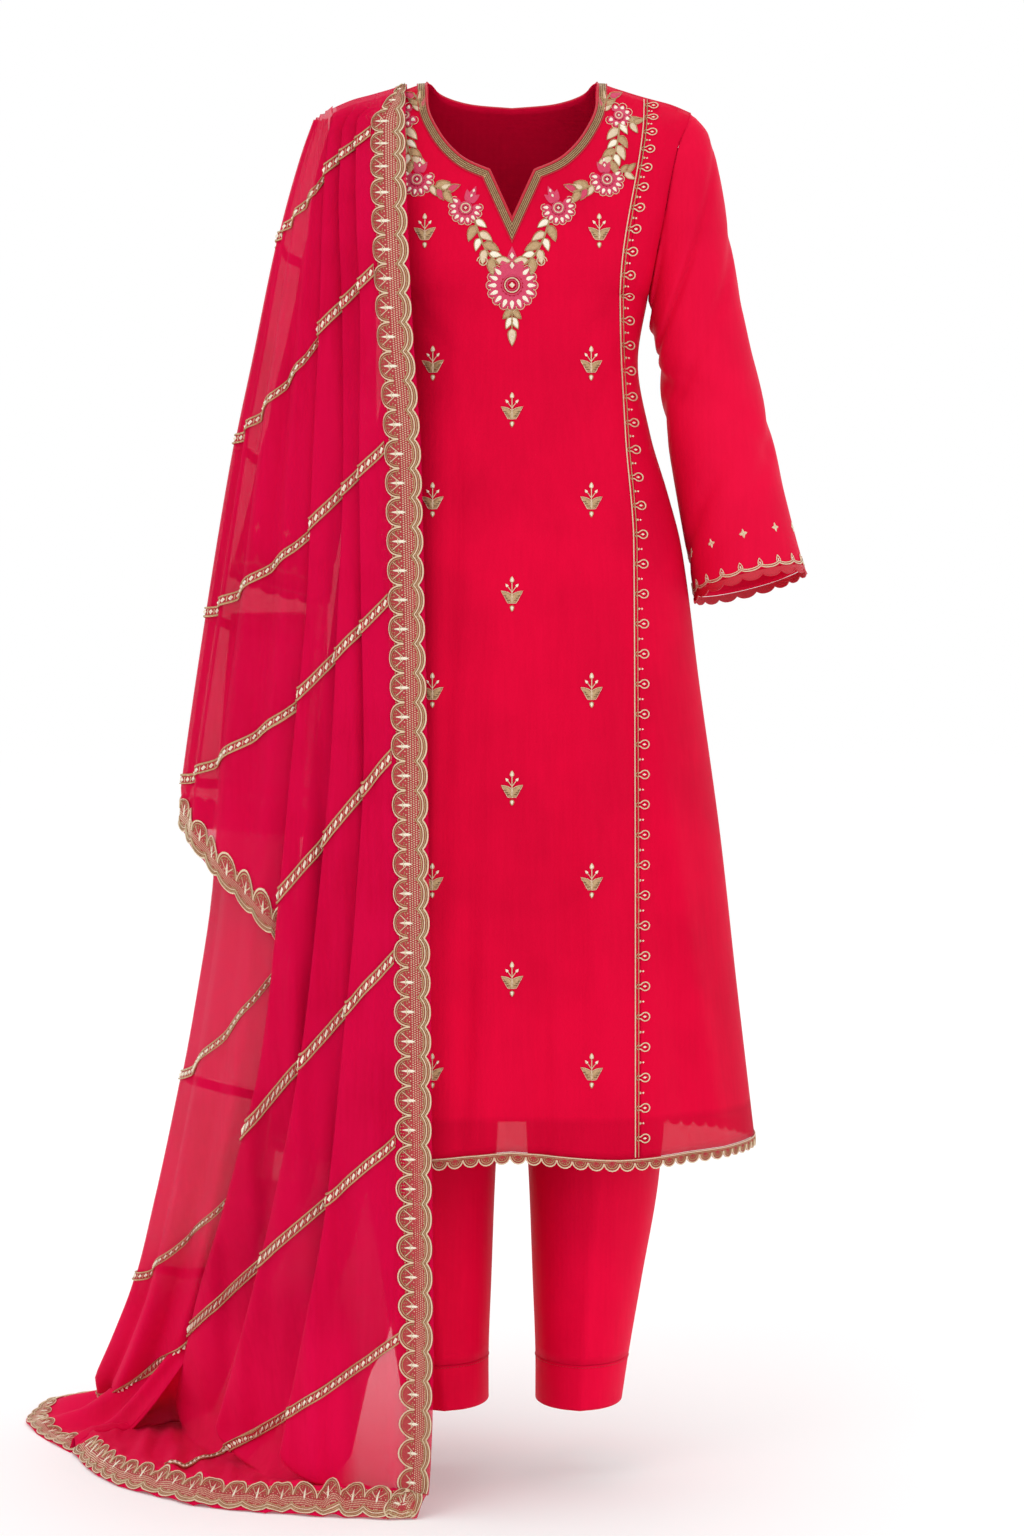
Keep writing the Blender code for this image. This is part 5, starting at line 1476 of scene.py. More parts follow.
def lace_repeat(pitch, depth):
    """One repeat of the two-sided lace: y runs from the outer scallops to the arches on the cloth."""
    sketch, k, middle = Sketch(), depth / LACE_DEPTH, pitch / 2
    centre, rise = LACE_CENTRE * k, ARCH_RISE * k
    sketch.cord(arch(middle, centre, pitch * 0.490, rise, count=13), 0.00075 * k, "light", 0.0008)
    sketch.cord(arch(middle, centre, pitch * 0.415, rise * 0.85), 0.00055 * k, "gold", 0.0008)
    for share, count in ((0.70, 9), (0.57, 7)):
        ring = arch(middle, centre, pitch * 0.5 * share, rise * share, 14, 166, count)
        for x, y in ring:
            sketch.dot(x, y, 0.00085 * k, "gold", 0.8, lift=0.0008)
    for lean in (-1, 1):
        foot = (middle + lean * pitch * 0.06, centre + 0.0006)
        tip = (middle + lean * pitch * 0.28, centre + rise * 0.52)
        sketch.cord([foot, tip], 0.00045 * k, "light", 0.0008)
    sketch.leaf(middle, centre - 0.0050 * k, math.pi / 2, 0.0150 * k, 0.0030 * k, "pearl", 0.0009, 0.0010)
    cross = [(middle + lean * 0.0026 * k, centre + 0.0028 * k) for lean in (-1, 1)]
    sketch.cord(cross, 0.0005 * k, "light", 0.0012)
    share = np.linspace(0, 1, 11)
    for offset, radius, thread in LACE_CORDS:
        line = np.stack([share * pitch, (offset + scallop(share, SCALLOP_DIP)) * k], axis=1)
        sketch.cord(line, radius * k, thread, 0.0008)
    for x, y in grain_places(pitch, centre, k):
        sketch.dot(x, y, 0.00085 * k, "light", 0.8, lift=0.0007)
    for y in np.arange(3):
        sketch.dot(0.0, centre + (0.0022 + 0.0030 * y) * k, 0.0011 * k, "gold", 0.8, lift=0.0008)
    for x in np.linspace(0, pitch, 7)[:-1]:
        sketch.dot(x, centre, 0.00085 * k, "light", 0.9, lift=0.0008)
    return sketch


def grain_places(pitch, centre, k):
    """Places of the close net of grains between the innermost scalloped cord and the lace's middle line."""
    places, gap = [], 0.0022 * k
    inner = LACE_CORDS[-1][0] + 0.0014
    columns = round(pitch / gap)
    for row in range(1, int(centre / gap)):
        for step in range(columns):
            x = (step + 0.5 * (row % 2)) * pitch / columns
            y = centre - 0.0004 - row * gap
            if y > (inner + scallop(x / pitch, SCALLOP_DIP)) * k:
                places.append((x, y))
    return places


def build_lace(name, strip, pitch, node_name):
    """The two-sided lace on its strip, over a ground of net that ends with the scallops and the arches."""
    count = max(1, round(strip.length / pitch))
    stretch = strip.length / (count * pitch)
    sketch = lace_repeat(pitch, strip.width).repeated(count, pitch, stretch)
    k, step = strip.width / LACE_DEPTH, pitch * stretch

    def near(s):
        return scallop(s / step, SCALLOP_DIP) * k

    def far(s):
        across = 2 * ((s / step) % 1.0) - 1
        return (LACE_CENTRE + ARCH_RISE * np.sqrt(np.clip(1 - across**2, 0.0, 1))) * k

    base = strip.ground(near, far, count * 14 + 1, "net")
    return lay(name, sketch, strip.at, "gold_lace", (node_name,), base)


def long_cord(sketch, strip, t, radius, thread, lift=0.0008):
    """A cord all the way along the strip, at one distance from its edge."""
    sketch.cord(np.stack([strip.way, np.full(len(strip.way), t)], axis=1), radius, thread, lift)


def build_gota(name, strip, *nodes):
    """A tape of two gold cords with a row of pearls between them, set apart by short pale stitches."""
    count = max(2, round(strip.length / GOTA_PITCH))
    stretch = strip.length / (count * GOTA_PITCH)
    width, one = strip.width, Sketch()
    one.dot(GOTA_PITCH / 2, width / 2, 0.0027, "pearl", 0.7, long=1.05, lift=0.0008)
    one.cord([(0.0, width * 0.25), (0.0, width * 0.75)], 0.0006, "light", 0.0007, sides=4)
    sketch = one.repeated(count, GOTA_PITCH, stretch)
    for share in (0.07, 0.93):
        long_cord(sketch, strip, share * width, 0.0008, "gold")
    base = strip.ground(level(0.0), level(width), max(12, len(strip.way) * 2), "red")
    return lay(name, sketch, strip.at, "gold_gota", nodes, base)


# ---------------------------------------------------------------- kameez trims


def offset_line(points, distance):
    """The polyline moved to its right by a distance, with mitred corners."""
    along = np.diff(points, axis=0)
    along /= np.linalg.norm(along, axis=1)[:, None]
    right = np.stack([along[:, 1], -along[:, 0]], axis=1)
    first, second = np.vstack([right[:1], right]), np.vstack([right, right[-1:]])
    return points + distance * (first + second) / (1 + (first * second).sum(axis=1))[:, None]


def kameez_strip(edge, inner, side, width):
    """A strip of the kameez between two lines of across and height."""
    def on(line, lift=0.0):
        return kameez_place(line[:, 0], line[:, 1], side, np.full(len(line), lift))

    return Strip(on(edge), on(inner), on(inner, 0.001) - on(inner), width)


def build_neck_band(name, half_line, side, node_name):
    """Red piping along the neckline, four gold cords beside it over a dark ground that is painted shade in
    their gaps, and a fine red outer line.
    """
    line = np.vstack([half_line[:0:-1] * (-1, 1), half_line])
    strip = kameez_strip(line, offset_line(line, NECK_BAND), side, NECK_BAND)
    sketch = Sketch()
    long_cord(sketch, strip, 0.0006, 0.0013, "red", 0.0)
    for t in (0.0028, 0.0046, 0.0064, 0.0082):
        long_cord(sketch, strip, t, 0.00045, "gold")
    long_cord(sketch, strip, 0.0098, 0.0006, "red", 0.0002)
    # A dark sheet under the cords, painted shade for the gaps between them.
    base = strip.ground(level(0.0014), level(0.0090), 2 * len(line), "dark", 0.0003, 0.0007)
    return lay(name, sketch, strip.at, "gold_lace", (node_name,), base)


# Half the braid's width, its loops' pitch at the top and at the bottom, and the way over which it widens.
BRAID_HALF, BRAID_PITCHES, BRAID_WIDENS = 0.006, (0.0205, 0.0300), 0.50


def braid_loop():
    """A keyhole loop that opens from the braid's line, with a long bead inside it."""
    sketch = Sketch()
    turn = np.radians(np.linspace(-50, 230, 15))
    ring = np.stack([0.0042 * np.cos(turn), 0.0104 + 0.0044 * np.sin(turn)], axis=1)
    foot = np.array([(0.0016, 0.0042), (0.0018, 0.0058)])
    sketch.cord(np.vstack([foot, ring, foot[::-1] * (-1, 1)]), 0.00060, "light", 0.0004)
    sketch.dot(0, 0.0102, 0.0012, "pearl", 0.9, 1.7, math.pi / 2, 0.0004)
    for lean in (-1, 1):
        whisker = [(lean * 0.0052, 0.0036), (lean * 0.0030, 0.0040), (0.0, 0.0010)]
        sketch.cord(whisker, 0.00038, "gold", 0.0003)
    return sketch


def build_braid(name, mirror, node_name):
    """A fine gold line down the princess seam, and outside it a vine of beaded loops and small beads."""
    top, bottom = shoulder(SHOULDER_SEAM) - 0.002, hem_line(princess(HEM_ROW)) + 0.001
    height = np.linspace(top, bottom, 420)
    seam = princess(height)
    edge, inner = (np.stack([mirror * (seam + half), height], axis=1) for half in (-BRAID_HALF, BRAID_HALF))
    strip = kameez_strip(edge, inner, "front", 2 * BRAID_HALF)
    loop, sketch = braid_loop(), Sketch()
    first, last = BRAID_PITCHES
    at = first / 2
    while at < strip.length - 0.008:
        pitch = first + (last - first) * float(ease(at / BRAID_WIDENS))
        sketch.placed(loop, at)
        middle = at + pitch / 2
        if middle < strip.length - 0.004:
            sketch.dot(middle, 0.0058, 0.0013, "light", 0.9, lift=0.0004)
            sketch.dot(middle, 0.0086, 0.0011, "pearl", 0.9, lift=0.0004)
            bridge = [(middle - 0.0022, 0.0036), (middle, 0.0054), (middle + 0.0022, 0.0036)]
            sketch.cord(bridge, 0.00040, "gold", 0.0003)
        at += pitch
    long_cord(sketch, strip, 0.0006, 0.00055, "light", 0.0003)
    long_cord(sketch, strip, 0.0040, 0.00035, "gold", 0.0003)
    return lay(name, sketch, strip.at, "gold_lace", (node_name,))


def hem_strip():
    """The ring below the kameez's hem: its top line on the hem and its bottom line one lace below."""
    share = np.linspace(-1, 1, 420)[:-1]
    x = share * body(HEM_ROW, "half")
    height = curve(HEM["share"], HEM["height"], np.abs(share)) - HEM_LACE_GAP
    rings, ways = [], []
    for side, turn in (("front", 1), ("back", -1)):
        place = kameez_place(x * turn, height, side)
        away = kameez_place(x * turn, height, side, np.full(len(x), 0.001)) - place
        away[:, 2] = 0
        rings.append(place)
        ways.append(away)
    top, out = np.concatenate(rings), np.concatenate(ways)
    top, out = np.vstack([top, top[:1]]), np.vstack([out, out[:1]])
    return Strip(top - (0, 0, HEM_LACE_DROP), top, out, HEM_LACE_DROP)


def scallop_repeat(pitch, depth):
    """One small scallop that hangs below a cord: a double arch over a fan of dots round a red eye."""
    sketch, middle = Sketch(), pitch / 2
    sketch.cord(arch(middle, depth * 0.66, pitch * 0.48, -depth * 0.60, count=9), 0.0007, "light", 0.0005)
    sketch.cord(arch(middle, depth * 0.68, pitch * 0.34, -depth * 0.42, count=8), 0.0005, "gold", 0.0005)
    for x, y in arch(middle, depth * 0.70, pitch * 0.22, -depth * 0.27, 10, 170, 5):
        sketch.dot(x, y, 0.0008, "gold", lift=0.0005)
    sketch.dot(middle, depth * 0.72, 0.0011, "red", 0.8, lift=0.0005)
    sketch.cord([(0, depth * 0.92), (pitch, depth * 0.92)], 0.0006, "light", 0.0004)
    sketch.cord([(0, depth * 0.78), (pitch, depth * 0.78)], 0.0004, "gold", 0.0004)
    return sketch


def build_scallops(name, strip, pitch, node_name):
    """A row of hanging scallops on its strip, over a ground of net."""
    count = round(strip.length / pitch)
    stretch = strip.length / (count * pitch)
    depth, step = strip.width, pitch * stretch
    sketch = scallop_repeat(pitch, depth).repeated(count, pitch, stretch)

    def near(s):
        across = 2 * ((s / step) % 1.0) - 1
        return depth * (0.66 - 0.64 * np.sqrt(np.clip(1 - across**2, 0.02, 1)))

    base = strip.ground(near, level(depth), count * 10 + 1, "net", 0.0, 0.0006)
    return lay(name, sketch, strip.at, "gold_lace", (node_name,), base)


# ---------------------------------------------------------------- embroidery

# The vines of the yoke's right half: leaf length, leaves, their fills, their first side and places along it.
YOKE_VINES = (
    (0.0155, 9, "pearl light gold", 1,
     (0.1075, 1.3760), (0.1060, 1.3600), (0.1020, 1.3450), (0.0975, 1.3330)),
    (0.0130, 5, "light pink gold", -1, (0.0900, 1.3900), (0.0935, 1.3990), (0.0990, 1.4090)),
    (0.0120, 3, "gold light", 1, (0.1165, 1.3800), (0.1240, 1.3770)),
    (0.0115, 3, "gold light", 1, (0.1080, 1.3260), (0.1180, 1.3270)),
    (0.0140, 6, "light gold pink", 1, (0.0800, 1.3120), (0.0710, 1.3080), (0.0610, 1.3050)),
    (0.0160, 9, "pearl gold light", -1,
     (0.0370, 1.2760), (0.0320, 1.2600), (0.0235, 1.2430), (0.0130, 1.2320)),
)
# Heights of the sprigs down the middle and down each side, and how far out the side ones stand.
BUTI_MIDDLE = (1.089, 0.907, 0.716, 0.528)
BUTI_SIDE = (1.267, 1.136, 1.000, 0.812, 0.625, 0.438)
BUTI_ACROSS, BUTI_TOP_OUT = 0.0785, 0.0080
# A sprig's broad leaves: how far they lean from the stem, and their length.
BUTI_LEAN, BUTI_LEAF = 0.70, 0.0160


def framed_leaf(sketch, x, y, angle, length, width, fill, bend=0.0, frame_thread="gold"):
    """A filled leaf with a fine cord round it."""
    sketch.leaf(x, y, angle, length, width, fill, 0.0009, 0.0002, bend)
    outline, _ = leaf_lines(length, width * 0.58, bend, 7)
    sketch.cord(turned(outline, x, y, angle), 0.00038, frame_thread, 0.0002, closed=True, sides=4)


def buti():
    """The small sprig: a pair of broad leaves, a stem with three buds, and a bead below."""
    sketch = Sketch()
    for lean in (-1, 1):
        angle = math.pi / 2 - lean * BUTI_LEAN
        framed_leaf(sketch, lean * 0.0004, -0.0100, angle, BUTI_LEAF, 0.0066, "gold", lean * 0.12, "light")
        for share in (0.30, 0.48, 0.66):
            x = lean * BUTI_LEAF * share * math.sin(BUTI_LEAN)
            y = -0.0102 + BUTI_LEAF * share * math.cos(BUTI_LEAN)
            vein = [(x - lean * 0.0012, y - 0.0006), (x + lean * 0.0018, y - 0.0004)]
            sketch.cord(vein, 0.0003, "dark", 0.0012, sides=4)
        sketch.cord([(0, 0.0010), (lean * 0.0022, 0.0040), (lean * 0.0042, 0.0066)], 0.00038, "light", 0.0002)
        sketch.leaf(lean * 0.0038, 0.0062, angle, 0.0042, 0.0026, "pearl", 0.0010, 0.0003)
    sketch.cord([(0, -0.0088), (0, 0.0), (0, 0.0100)], 0.00045, "light", 0.0002)
    framed_leaf(sketch, 0, 0.0108, math.pi / 2, 0.0056, 0.0030, "pearl", frame_thread="light")
    sketch.dot(0, 0.0098, 0.0008, "light", lift=0.0003)
    framed_leaf(sketch, 0, -0.0122, -math.pi / 2, 0.0056, 0.0032, "pearl")
    return sketch


def flower(sketch, x, y, radius, petals, start, sweep):
    """Pink petals in an arc, each with a cream seed and a fine edge, round a ringed eye."""
    start, sweep = math.radians(start), math.radians(sweep)
    for k in range(petals):
        angle = start + sweep * (k + 0.5) / petals
        wide = sweep / petals * radius * 0.86
        out = [(x + share * radius * math.cos(angle), y + share * radius * math.sin(angle))
               for share in (0.34, 0.56, 0.80)]
        sketch.leaf(*out[0], angle, radius * 0.66, wide, "pink", 0.0008, 0.0001, round_end=0.9)
        sketch.leaf(*out[1], angle, radius * 0.34, wide * 0.46, "pearl", 0.0009, 0.0008)
        tip_x, tip_y = out[2]
        turn = angle + np.radians(np.linspace(-95, 95, 6))
        edge = np.stack([tip_x + wide * 0.52 * np.cos(turn), tip_y + wide * 0.52 * np.sin(turn)], axis=1)
        sketch.cord(edge, 0.00035, "light", 0.0002, sides=4)
    turn = np.radians(np.linspace(0, 360, 15)[:-1])
    circle = np.stack([np.cos(turn), np.sin(turn)], axis=1)
    for share, thread in ((0.36, "pink"), (0.27, "light"), (0.19, "pink")):
        sketch.cord(circle * radius * share + (x, y), 0.0007, thread, 0.0003, closed=True)
    sketch.dot(x, y, radius * 0.11, "pearl", lift=0.0006)


def bud(sketch, x, y, angle, length):
    """A pink hood of three lobes with two cream dots up its middle."""
    for lean in (-0.55, 0.0, 0.55):
        reach = length * (1.0 if lean == 0 else 0.74)
        sketch.leaf(x, y, angle + lean, reach, length * 0.42, "pink", 0.0009, 0.0002)
    for way in (0.38 * length, 0.68 * length):
        place = (x + math.cos(angle) * way, y + math.sin(angle) * way)
        sketch.dot(*place, length * 0.075, "pearl", 1.0, 1.5, angle, 0.0011)


def vine(sketch, places, leaf, count, fills, first_side):
    """A double gold stem through these places with leaves by turns on its two sides."""
    places = np.asarray(places, float)
    along = np.linspace(0, len(places) - 1, 5 * len(places))
    line = curve(np.arange(len(places)), places, along)
    tangent = np.gradient(line, axis=0)
    tangent /= np.linalg.norm(tangent, axis=1)[:, None]
    across = np.stack([-tangent[:, 1], tangent[:, 0]], axis=1)
    for side in (-1, 1):
        sketch.cord(line + across * side * 0.00045, 0.00045, "gold", 0.0002)
    for k in range(count):
        at = int((k + 0.4) / count * (len(line) - 1))
        side = first_side * (-1) ** k
        angle = math.atan2(tangent[at, 1], tangent[at, 0]) + side * 0.72
        size = leaf * (0.88 + 0.24 * ((k * 5) % 3) / 2)
        framed_leaf(sketch, *line[at], angle, size, size * 0.44, fills[k % len(fills)], side * 0.06)


def curl(sketch, x, y, radius, lean):
    """A tendril that winds in on itself."""
    turn = np.radians(np.linspace(0, 560, 26))
    reach = radius * (1 - 0.62 * turn / turn[-1])
    line = np.stack([x + lean * reach * np.cos(turn), y + reach * np.sin(turn)], axis=1)
    sketch.cord(line, 0.00048, "light", 0.0002)


def yoke_half():
    """The right half of the flowers and vines that follow the neckline."""
    sketch = Sketch()
    for leaf, count, fills, first_side, *places in YOKE_VINES:
        vine(sketch, places, leaf, count, fills.split(), first_side)
    flower(sketch, 0.0945, 1.3180, 0.0172, 9, -205, 250)
    bud(sketch, 0.0925, 1.3250, 1.66, 0.0185)
    flower(sketch, 0.0460, 1.2885, 0.0172, 9, -195, 245)
    bud(sketch, 0.0430, 1.2945, 2.00, 0.0180)
    flower(sketch, 0.1070, 1.3850, 0.0130, 7, -170, 300)
    curl(sketch, 0.0290, 1.2350, 0.0056, 1)
    return sketch


def build_embroidery():
    """The flowers round the neck with their pendant, and the sprigs down the front."""
    half, yoke = yoke_half(), Sketch()
    yoke.placed(half).placed(half, mirror=True)
    flower(yoke, 0.0, 1.2115, 0.0265, 13, -235, 290)
    bud(yoke, 0.0, 1.2190, math.pi / 2, 0.0310)
    for lean in (-1, 1):
        framed_leaf(yoke, lean * 0.0010, 1.1870, -math.pi / 2 + lean * 0.75, 0.0120, 0.0058, "gold")
        framed_leaf(yoke, lean * 0.0008, 1.1800, -math.pi / 2 + lean * 0.42, 0.0130, 0.0056, "pearl")
    framed_leaf(yoke, 0.0, 1.1690, -math.pi / 2, 0.0175, 0.0072, "light")
    yoke.dot(0.0, 1.1610, 0.0014, "pearl", lift=0.0010)
    yoke.cord([(0, 1.1880), (0, 1.1690)], 0.0006, "gold", 0.0002)

    def place(x, h, lift):
        return kameez_place(x, h, "front", lift + SEAM)

    lay("neck_embroidery", yoke, place, "gold_lace")
    one, sprigs = buti(), Sketch()
    for height in BUTI_MIDDLE:
        sprigs.placed(one, 0.0, height)
    for height in BUTI_SIDE:
        across = BUTI_ACROSS + (BUTI_TOP_OUT if height == BUTI_SIDE[0] else 0)
        for side in (-1, 1):
            sprigs.placed(one, side * across, height)
    lay("kameez_sprigs", sprigs, place, "gold_lace")


CUFF_DOTS, CUFF_PITCH, CUFF_SCALLOP = 10, 0.0205, 0.0042
# The bands near the cuff that hold the dots and the arches, by the sleeve's rows, and each one's width.
DOT_ROWS, DOT_BAND, ARCH_ROWS, ARCH_BAND = (0.900, 0.800), 0.031, (1.0, 0.97), 0.0095
STITCH_BAND, STITCH_PITCH = 0.0045, 0.0036


def build_cuff(name, sleeve, node_name):
    """A sleeve's end: its scalloped edge below the hem, arches along it and a row of four-petalled dots."""
    ring = sleeve.points[-1]
    along = ring - sleeve.points[-2]
    along /= np.linalg.norm(along, axis=1)[:, None]
    top, bottom = ring + along * 0.0004, ring + along * CUFF_EDGE
    fine = np.linspace(0, len(ring) - 1, 4 * len(ring))
    at = np.arange(len(ring))
    top, bottom, out = (np.stack([np.interp(fine, at, line[:, i]) for i in range(3)], axis=1)
                        for line in (top, bottom, sleeve.outs[-1]))
    strip = Strip(bottom, top, out, CUFF_EDGE)
    count = round(strip.length / CUFF_PITCH)
    step = strip.length / count

    def near(s):
        return scallop(s / step, CUFF_SCALLOP)

    share = np.linspace(0, 1, 13)
    one = Sketch()
    one.cord(np.stack([share * step, 0.0005 + scallop(share, CUFF_SCALLOP)], axis=1), 0.0006, "red", 0.0004)
    base = strip.ground(near, level(CUFF_EDGE), count * 12 + 1, "red", 0.0, 0.0008)
    lay(f"{name}_scallops", one.repeated(count, step), strip.at, "cuff_edging", (node_name,), base)
    columns = sleeve.columns
    upper = ClothStrip(sleeve, DOT_ROWS[0], columns, DOT_ROWS[1], columns, DOT_BAND)
    dot, band = Sketch(), Sketch()
    for k in range(4):
        dot.leaf(0, 0, math.pi / 4 + k * math.pi / 2, 0.0044, 0.0028, "light", 0.0008, 0.0002)
    for k in range(CUFF_DOTS):
        band.placed(dot, (k + 0.5) * upper.length / CUFF_DOTS, 0.0050, math.pi / 4)
    lay(f"{name}_petals", band, upper.at, "gold_lace")
    lower = ClothStrip(sleeve, ARCH_ROWS[0], columns, ARCH_ROWS[1], columns, ARCH_BAND)
    one, step = Sketch(), lower.length / count
    for t, radius in ((0.0006, 0.0006), (0.0024, 0.0005)):
        line = np.stack([share * step, t + scallop(share, 0.6 * CUFF_SCALLOP)], axis=1)
        one.cord(line, radius, "light", 0.0002)
    side = np.array([(0.0, 0.0105), (0.0012, 0.0086), (0.0021, 0.0066), (0.0022, 0.0050), (0.0018, 0.0036)])
    for lean in (-1, 1):
        one.cord(side * (lean, 1), 0.0005, "light", 0.0002)
    one.dot(0.0, 0.0062, 0.0009, "pearl", 0.9, 1.6, math.pi / 2, 0.0002)
    lay(f"{name}_cords", one.repeated(count, step), lower.at, "gold_lace")


def build_cuff_stitches(name, cloth):
    """A row of small stitches round a leg's turned hem."""
    strip = ClothStrip(cloth, 1.0, cloth.columns, 0.0, cloth.columns, STITCH_BAND)
    one = Sketch()
    one.cord([(0.0006, 0.0022), (0.0030, 0.0022)], 0.0003, "red", 0.0, sides=4)
    count = round(strip.length / STITCH_PITCH)
    stitches = one.repeated(count, STITCH_PITCH, strip.length / (count * STITCH_PITCH))
    lay(name, stitches, strip.at, "crimson_trouser_cloth")


# ---------------------------------------------------------------- the suit


def build_kameez():
    """The kameez with its lining, sleeves, bands, braids, hem scallops and embroidery."""
    stuff, lining, slot = MATERIALS["georgette"], MATERIALS["lining"], "crimson_georgette"
    shell("kameez_front_centre_cloth", centre_cloth(), CLOTH, stuff, slot, ["kameez_front_centre"])
    for name, mirror in (("right", False), ("left", True)):
        cloth = side_cloth(mirror)
        shell(f"kameez_side_cloth_{name}", cloth, CLOTH, stuff, slot, [f"kameez_front_side_{name}"])
    shell("kameez_back_cloth", back_cloth(), CLOTH, stuff, slot, ["kameez_back"])
    for side in ("front", "back"):
        cloth = lining_cloth(side)
        shell(f"lining_cloth_{side}", cloth, SHEER, lining, "crimson_lining", [f"kameez_lining_{side}"])
    share = spread((0, NECK_FRONT_SHARES[1], NECK_FRONT_SHARES[-1]), (24, 90))
    build_neck_band("neck_cords_front", np.stack(neckline(share), axis=1), "front", "neck_band_front")
    across, height = zip(*NECK_BACK)
    knots = np.linspace(0, 1, len(across))
    share = np.linspace(0, 1, 60)
    half_line = np.stack([curve(knots, across, share), curve(knots, height, share)], axis=1)
    build_neck_band("neck_cords_back", half_line, "back", "neck_band_back")
    build_braid("braid_right", 1, "panel_braid_right")
    build_braid("braid_left", -1, "panel_braid_left")
    build_scallops("hem_scallops", hem_strip(), HEM_PITCH, "hem_lace")
    build_embroidery()
    for name, mirror in (("right", False), ("left", True)):
        sleeve = sleeve_cloth(mirror)
        shell(f"sleeve_cloth_{name}", sleeve, CLOTH, MATERIALS["sleeve"], slot, [f"sleeve_{name}"])
        build_cuff(f"cuff_{name}", sleeve, f"cuff_edge_{name}")


def build_trousers():
    """Both legs, their turned hems and the waistband."""
    stuff, slot = MATERIALS["trouser"], "crimson_trouser_cloth"
    for name, mirror in (("right", 1), ("left", -1)):
        for side in ("front", "back"):
            cloth = trouser_cloth(side, mirror)
            shell(f"trouser_cloth_{side}_{name}", cloth, CLOTH, stuff, slot, [f"trouser_{side}_{name}"])
        cuff = cuff_cloth(mirror)
        shell(f"trouser_hem_{name}", cuff, CLOTH, stuff, slot, [f"trouser_cuff_{name}"])
        build_cuff_stitches(f"trouser_stitches_{name}", cuff)
    shell("waistband_cloth", waist_cloth(), 2 * CLOTH, stuff, slot, ["trouser_waistband"])


def seen_line(cloth, start, end, drop, bend=1.0):
    """The row in each column where the cloth, seen from the front, crosses a line between two places."""
    across, height = cloth.points[..., 0], cloth.points[..., 2] + LOOK_DOWN * cloth.points[..., 1]
    x0, h0 = start[0], start[2] + LOOK_DOWN * start[1]
    x1, h1 = end[0], end[2] + LOOK_DOWN * end[1]
    slope = (h1 - h0) / (x1 - x0)
    left = 1 - (across - x0) / (x1 - x0)
    line = h1 - (h1 - h0) * np.sign(left) * np.abs(left) ** bend
    above = height - line + drop * math.hypot(1, slope)
    rows = np.arange(len(cloth.rows))[:, None]
    under = np.where((above[1:] < 0) & (above[:-1] >= 0), rows[1:], len(rows) - 1).min(axis=0)
    columns = np.arange(across.shape[1])
    upper, lower = above[under - 1, columns], above[under, columns]
    share = np.clip(upper / np.where(upper > lower, upper - lower, 1), 0, 1)
    return cloth.rows[under - 1] + share * (cloth.rows[under] - cloth.rows[under - 1])


def gauze(name, cloth, nodes):
    """A layer of the dupatta as a shell of chiffon, draped on another piece."""
    shell(name, cloth, SHEER, MATERIALS["chiffon"], "crimson_chiffon", nodes)


def build_front_fall():
    """The pleated front with its border lace, its hem lace and its gota tapes."""
    cloth = fall_cloth()
    gauze("dupatta_front_cloth", cloth, ["dupatta_front"])
    rows, shares, inner = cloth.rows[::-1], -cloth.columns[::-1], FALL_SHARES[1]
    border = ClothStrip(cloth, rows, 0.0, rows, -inner, LACE_DEPTH)
    build_lace("edge_lace_front", border, LACE_PITCH, "dupatta_edge_lace")
    foot, hem = foot_and_hem(FOOT, "share", shares)
    lace_row = fall_row(shares, HEM_LACE - np.linalg.norm(hem - foot, axis=-1))
    strip = ClothStrip(cloth, 2.0, -shares, lace_row, -shares, HEM_LACE)
    build_lace("hem_lace_front", strip.squared(), END_LACE_PITCH, "dupatta_hem_lace")
    for number, (start, end) in enumerate(zip(*GOTA_FRONT.values()), 1):
        share, way, bend = FALL_SHARES[FIRST_EDGE], end, 1.0
        if number == len(GOTA_FRONT["border"]):
            share, way, bend = LAST_TAPE_END, HEM_LACE - LAST_TAPE_LIES, LAST_TAPE_BEND
        first, last = cloth.at(fall_row(inner, start), -inner), cloth.at(fall_row(share, way), -share)
        upper, lower = (seen_line(cloth, first, last, drop, bend)[::-1] for drop in (0.0, GOTA_WIDTH))
        above = np.logical_and.accumulate((lower < lace_row - TAPE_CLEAR) | (shares < inner))
        if number == len(GOTA_FRONT["border"]):
            above = shares <= LAST_TAPE_FOLD
        part = (shares >= inner) & above
        strip = ClothStrip(cloth, upper[part], -shares[part], lower[part], -shares[part], GOTA_WIDTH)
        build_gota(f"gota_tape_front_{number}", strip, f"gota_front_{number}")
    along = np.linspace(0, 1, 13)
    row, share = (a + (b - a) * along for a, b in (LAST_TAPE_ROWS, LAST_TAPE_SHARES))
    strip = ClothStrip(cloth, row, -share, row, LAST_TAPE_ACROSS - share, GOTA_WIDTH)
    build_gota("gota_tape_front_end", strip)
    return cloth


def evenly(line, count):
    """The line's points, moved along it so that they lie the same way apart."""
    way = np.append(0, np.cumsum(np.linalg.norm(np.diff(line, axis=0), axis=1)))
    at = np.linspace(0, way[-1], count)
    return np.stack([np.interp(at, way, line[:, i]) for i in range(3)], axis=1)


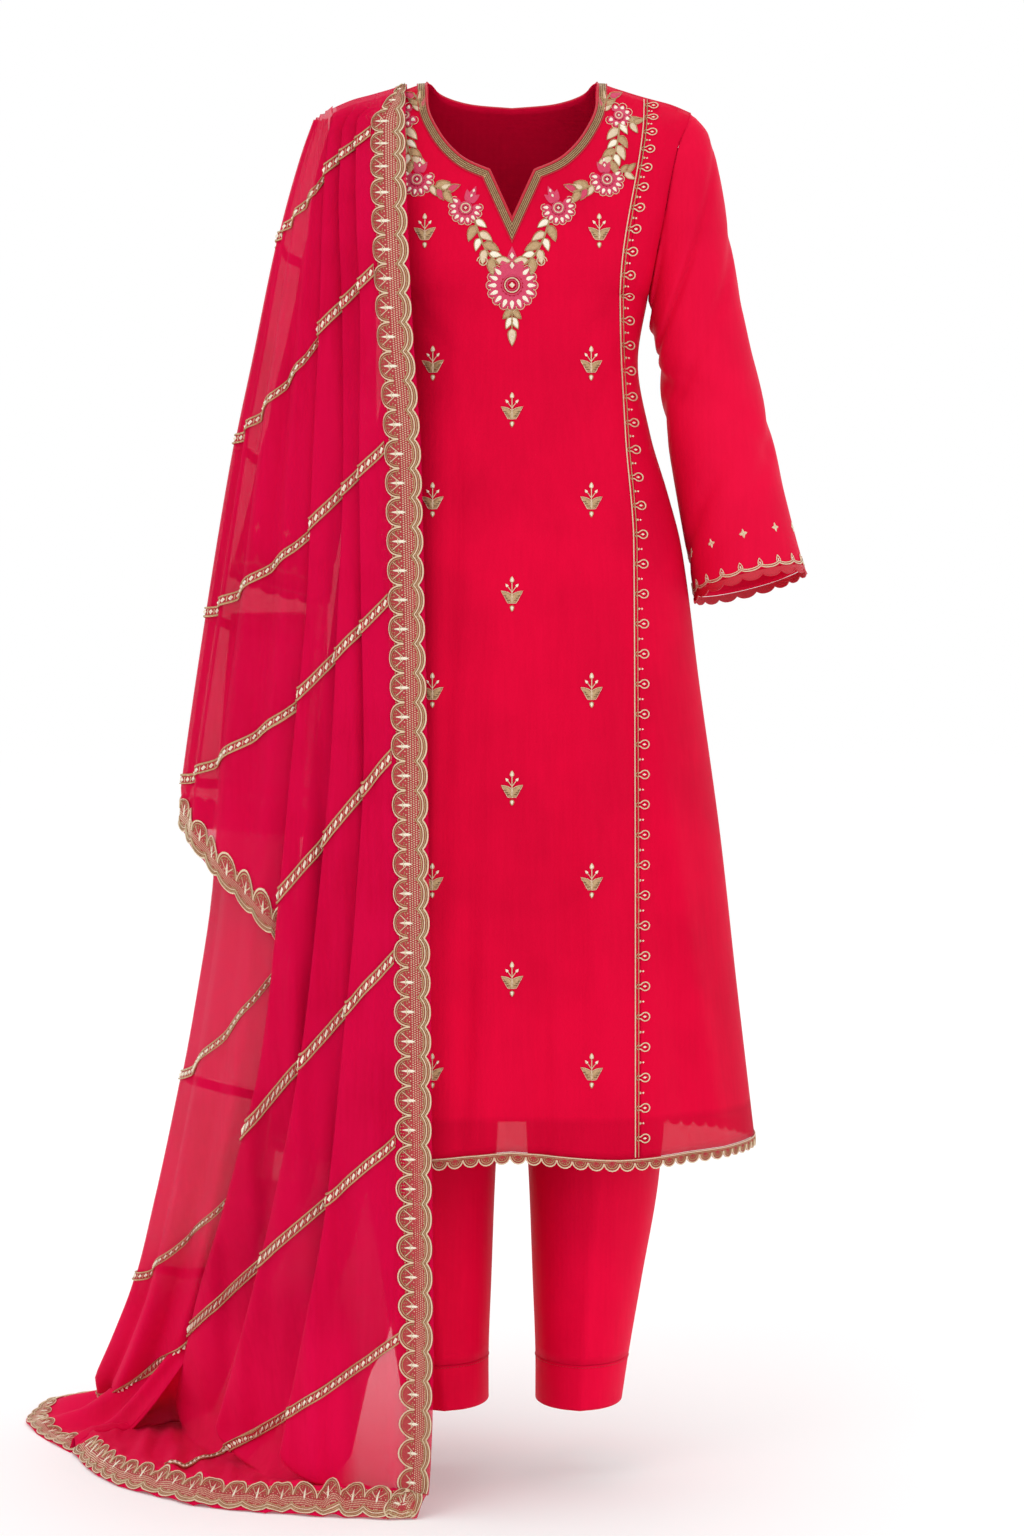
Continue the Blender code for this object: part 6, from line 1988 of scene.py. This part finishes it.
def build_tuck(front, lower):
    """The folded-in width of cloth that joins the front fall to the layer beside it, near the floor."""
    share = np.linspace(0, 1, 60)
    near = evenly(front.at(0.80 + 1.18 * share, front.columns[0] + 0.01), len(share))
    far = evenly(lower.at(6.0 + 5.95 * share, -3.0), len(share))
    across = np.linspace(0, 1, 12)
    points = near[:, None] * (1 - across)[None, :, None] + far[:, None] * across[None, :, None]
    points[..., 1] += 0.012 * np.sin(math.pi * across)[None]
    floor = REST_HEIGHT - SHOULDER_HEIGHT
    rise = 0.010 * np.sin(math.pi * across)[None] * share[:, None]
    points[..., 2] = np.maximum(points[..., 2] + rise, floor)
    gauze("dupatta_tuck_cloth", Cloth(share, across, points, flip=True), [])


def build_side_layers(front):
    """The cape and the layer below it with their tapes and hem laces, and the tuck beside the fall."""
    cape, lower = cape_cloth(), lower_cloth()
    gauze("dupatta_cape_cloth", cape, ["dupatta_cape"])
    gauze("dupatta_lower_cloth", lower, ["dupatta_lower"])
    for cloth, tapes, first, name in ((cape, CAPE_TAPES, 1, "cape"), (lower, LOWER_TAPES, 5, "lower")):
        for number, row in enumerate(tapes, first):
            strip = ClothStrip(cloth, row, cloth.columns, row + 1, cloth.columns, GOTA_WIDTH)
            build_gota(f"gota_tape_{name}_{number}", strip, f"gota_{name}_{number}")
    build_tuck(front, lower)
    for cloth, rows_up, depth, name in ((cape, 1, CAPE_LACE, "cape"), (lower, 0.75, TRAIN_LACE, "train")):
        end = cloth.rows[-1]
        strip = ClothStrip(cloth, end, cloth.columns, end - rows_up, cloth.columns, depth)
        build_lace(f"hem_lace_{name}", strip, END_LACE_PITCH, f"dupatta_{name}_lace")


def build_back_fall():
    """The end behind the shoulder with lace along its inner edge and its hem."""
    cloth = back_fall_cloth()
    gauze("dupatta_back_cloth", cloth, ["dupatta_back"])
    strip = ClothStrip(cloth, cloth.rows, 0.0, cloth.rows, BACK_EDGE_SHARE, BACK_EDGE_LACE)
    build_lace("edge_lace_back", strip, BACK_EDGE_PITCH, "dupatta_back_edge_lace")
    columns = cloth.columns[cloth.columns >= BACK_EDGE_SHARE]
    strip = ClothStrip(cloth, 1.0, columns, 1.0 - BACK_END_ROWS, columns, BACK_END_LACE)
    build_lace("hem_lace_back", strip, END_LACE_PITCH, "dupatta_back_hem_lace")


build_stage()
MATERIALS = build_materials()
build_kameez()
build_trousers()
front_fall = build_front_fall()
build_side_layers(front_fall)
build_back_fall()
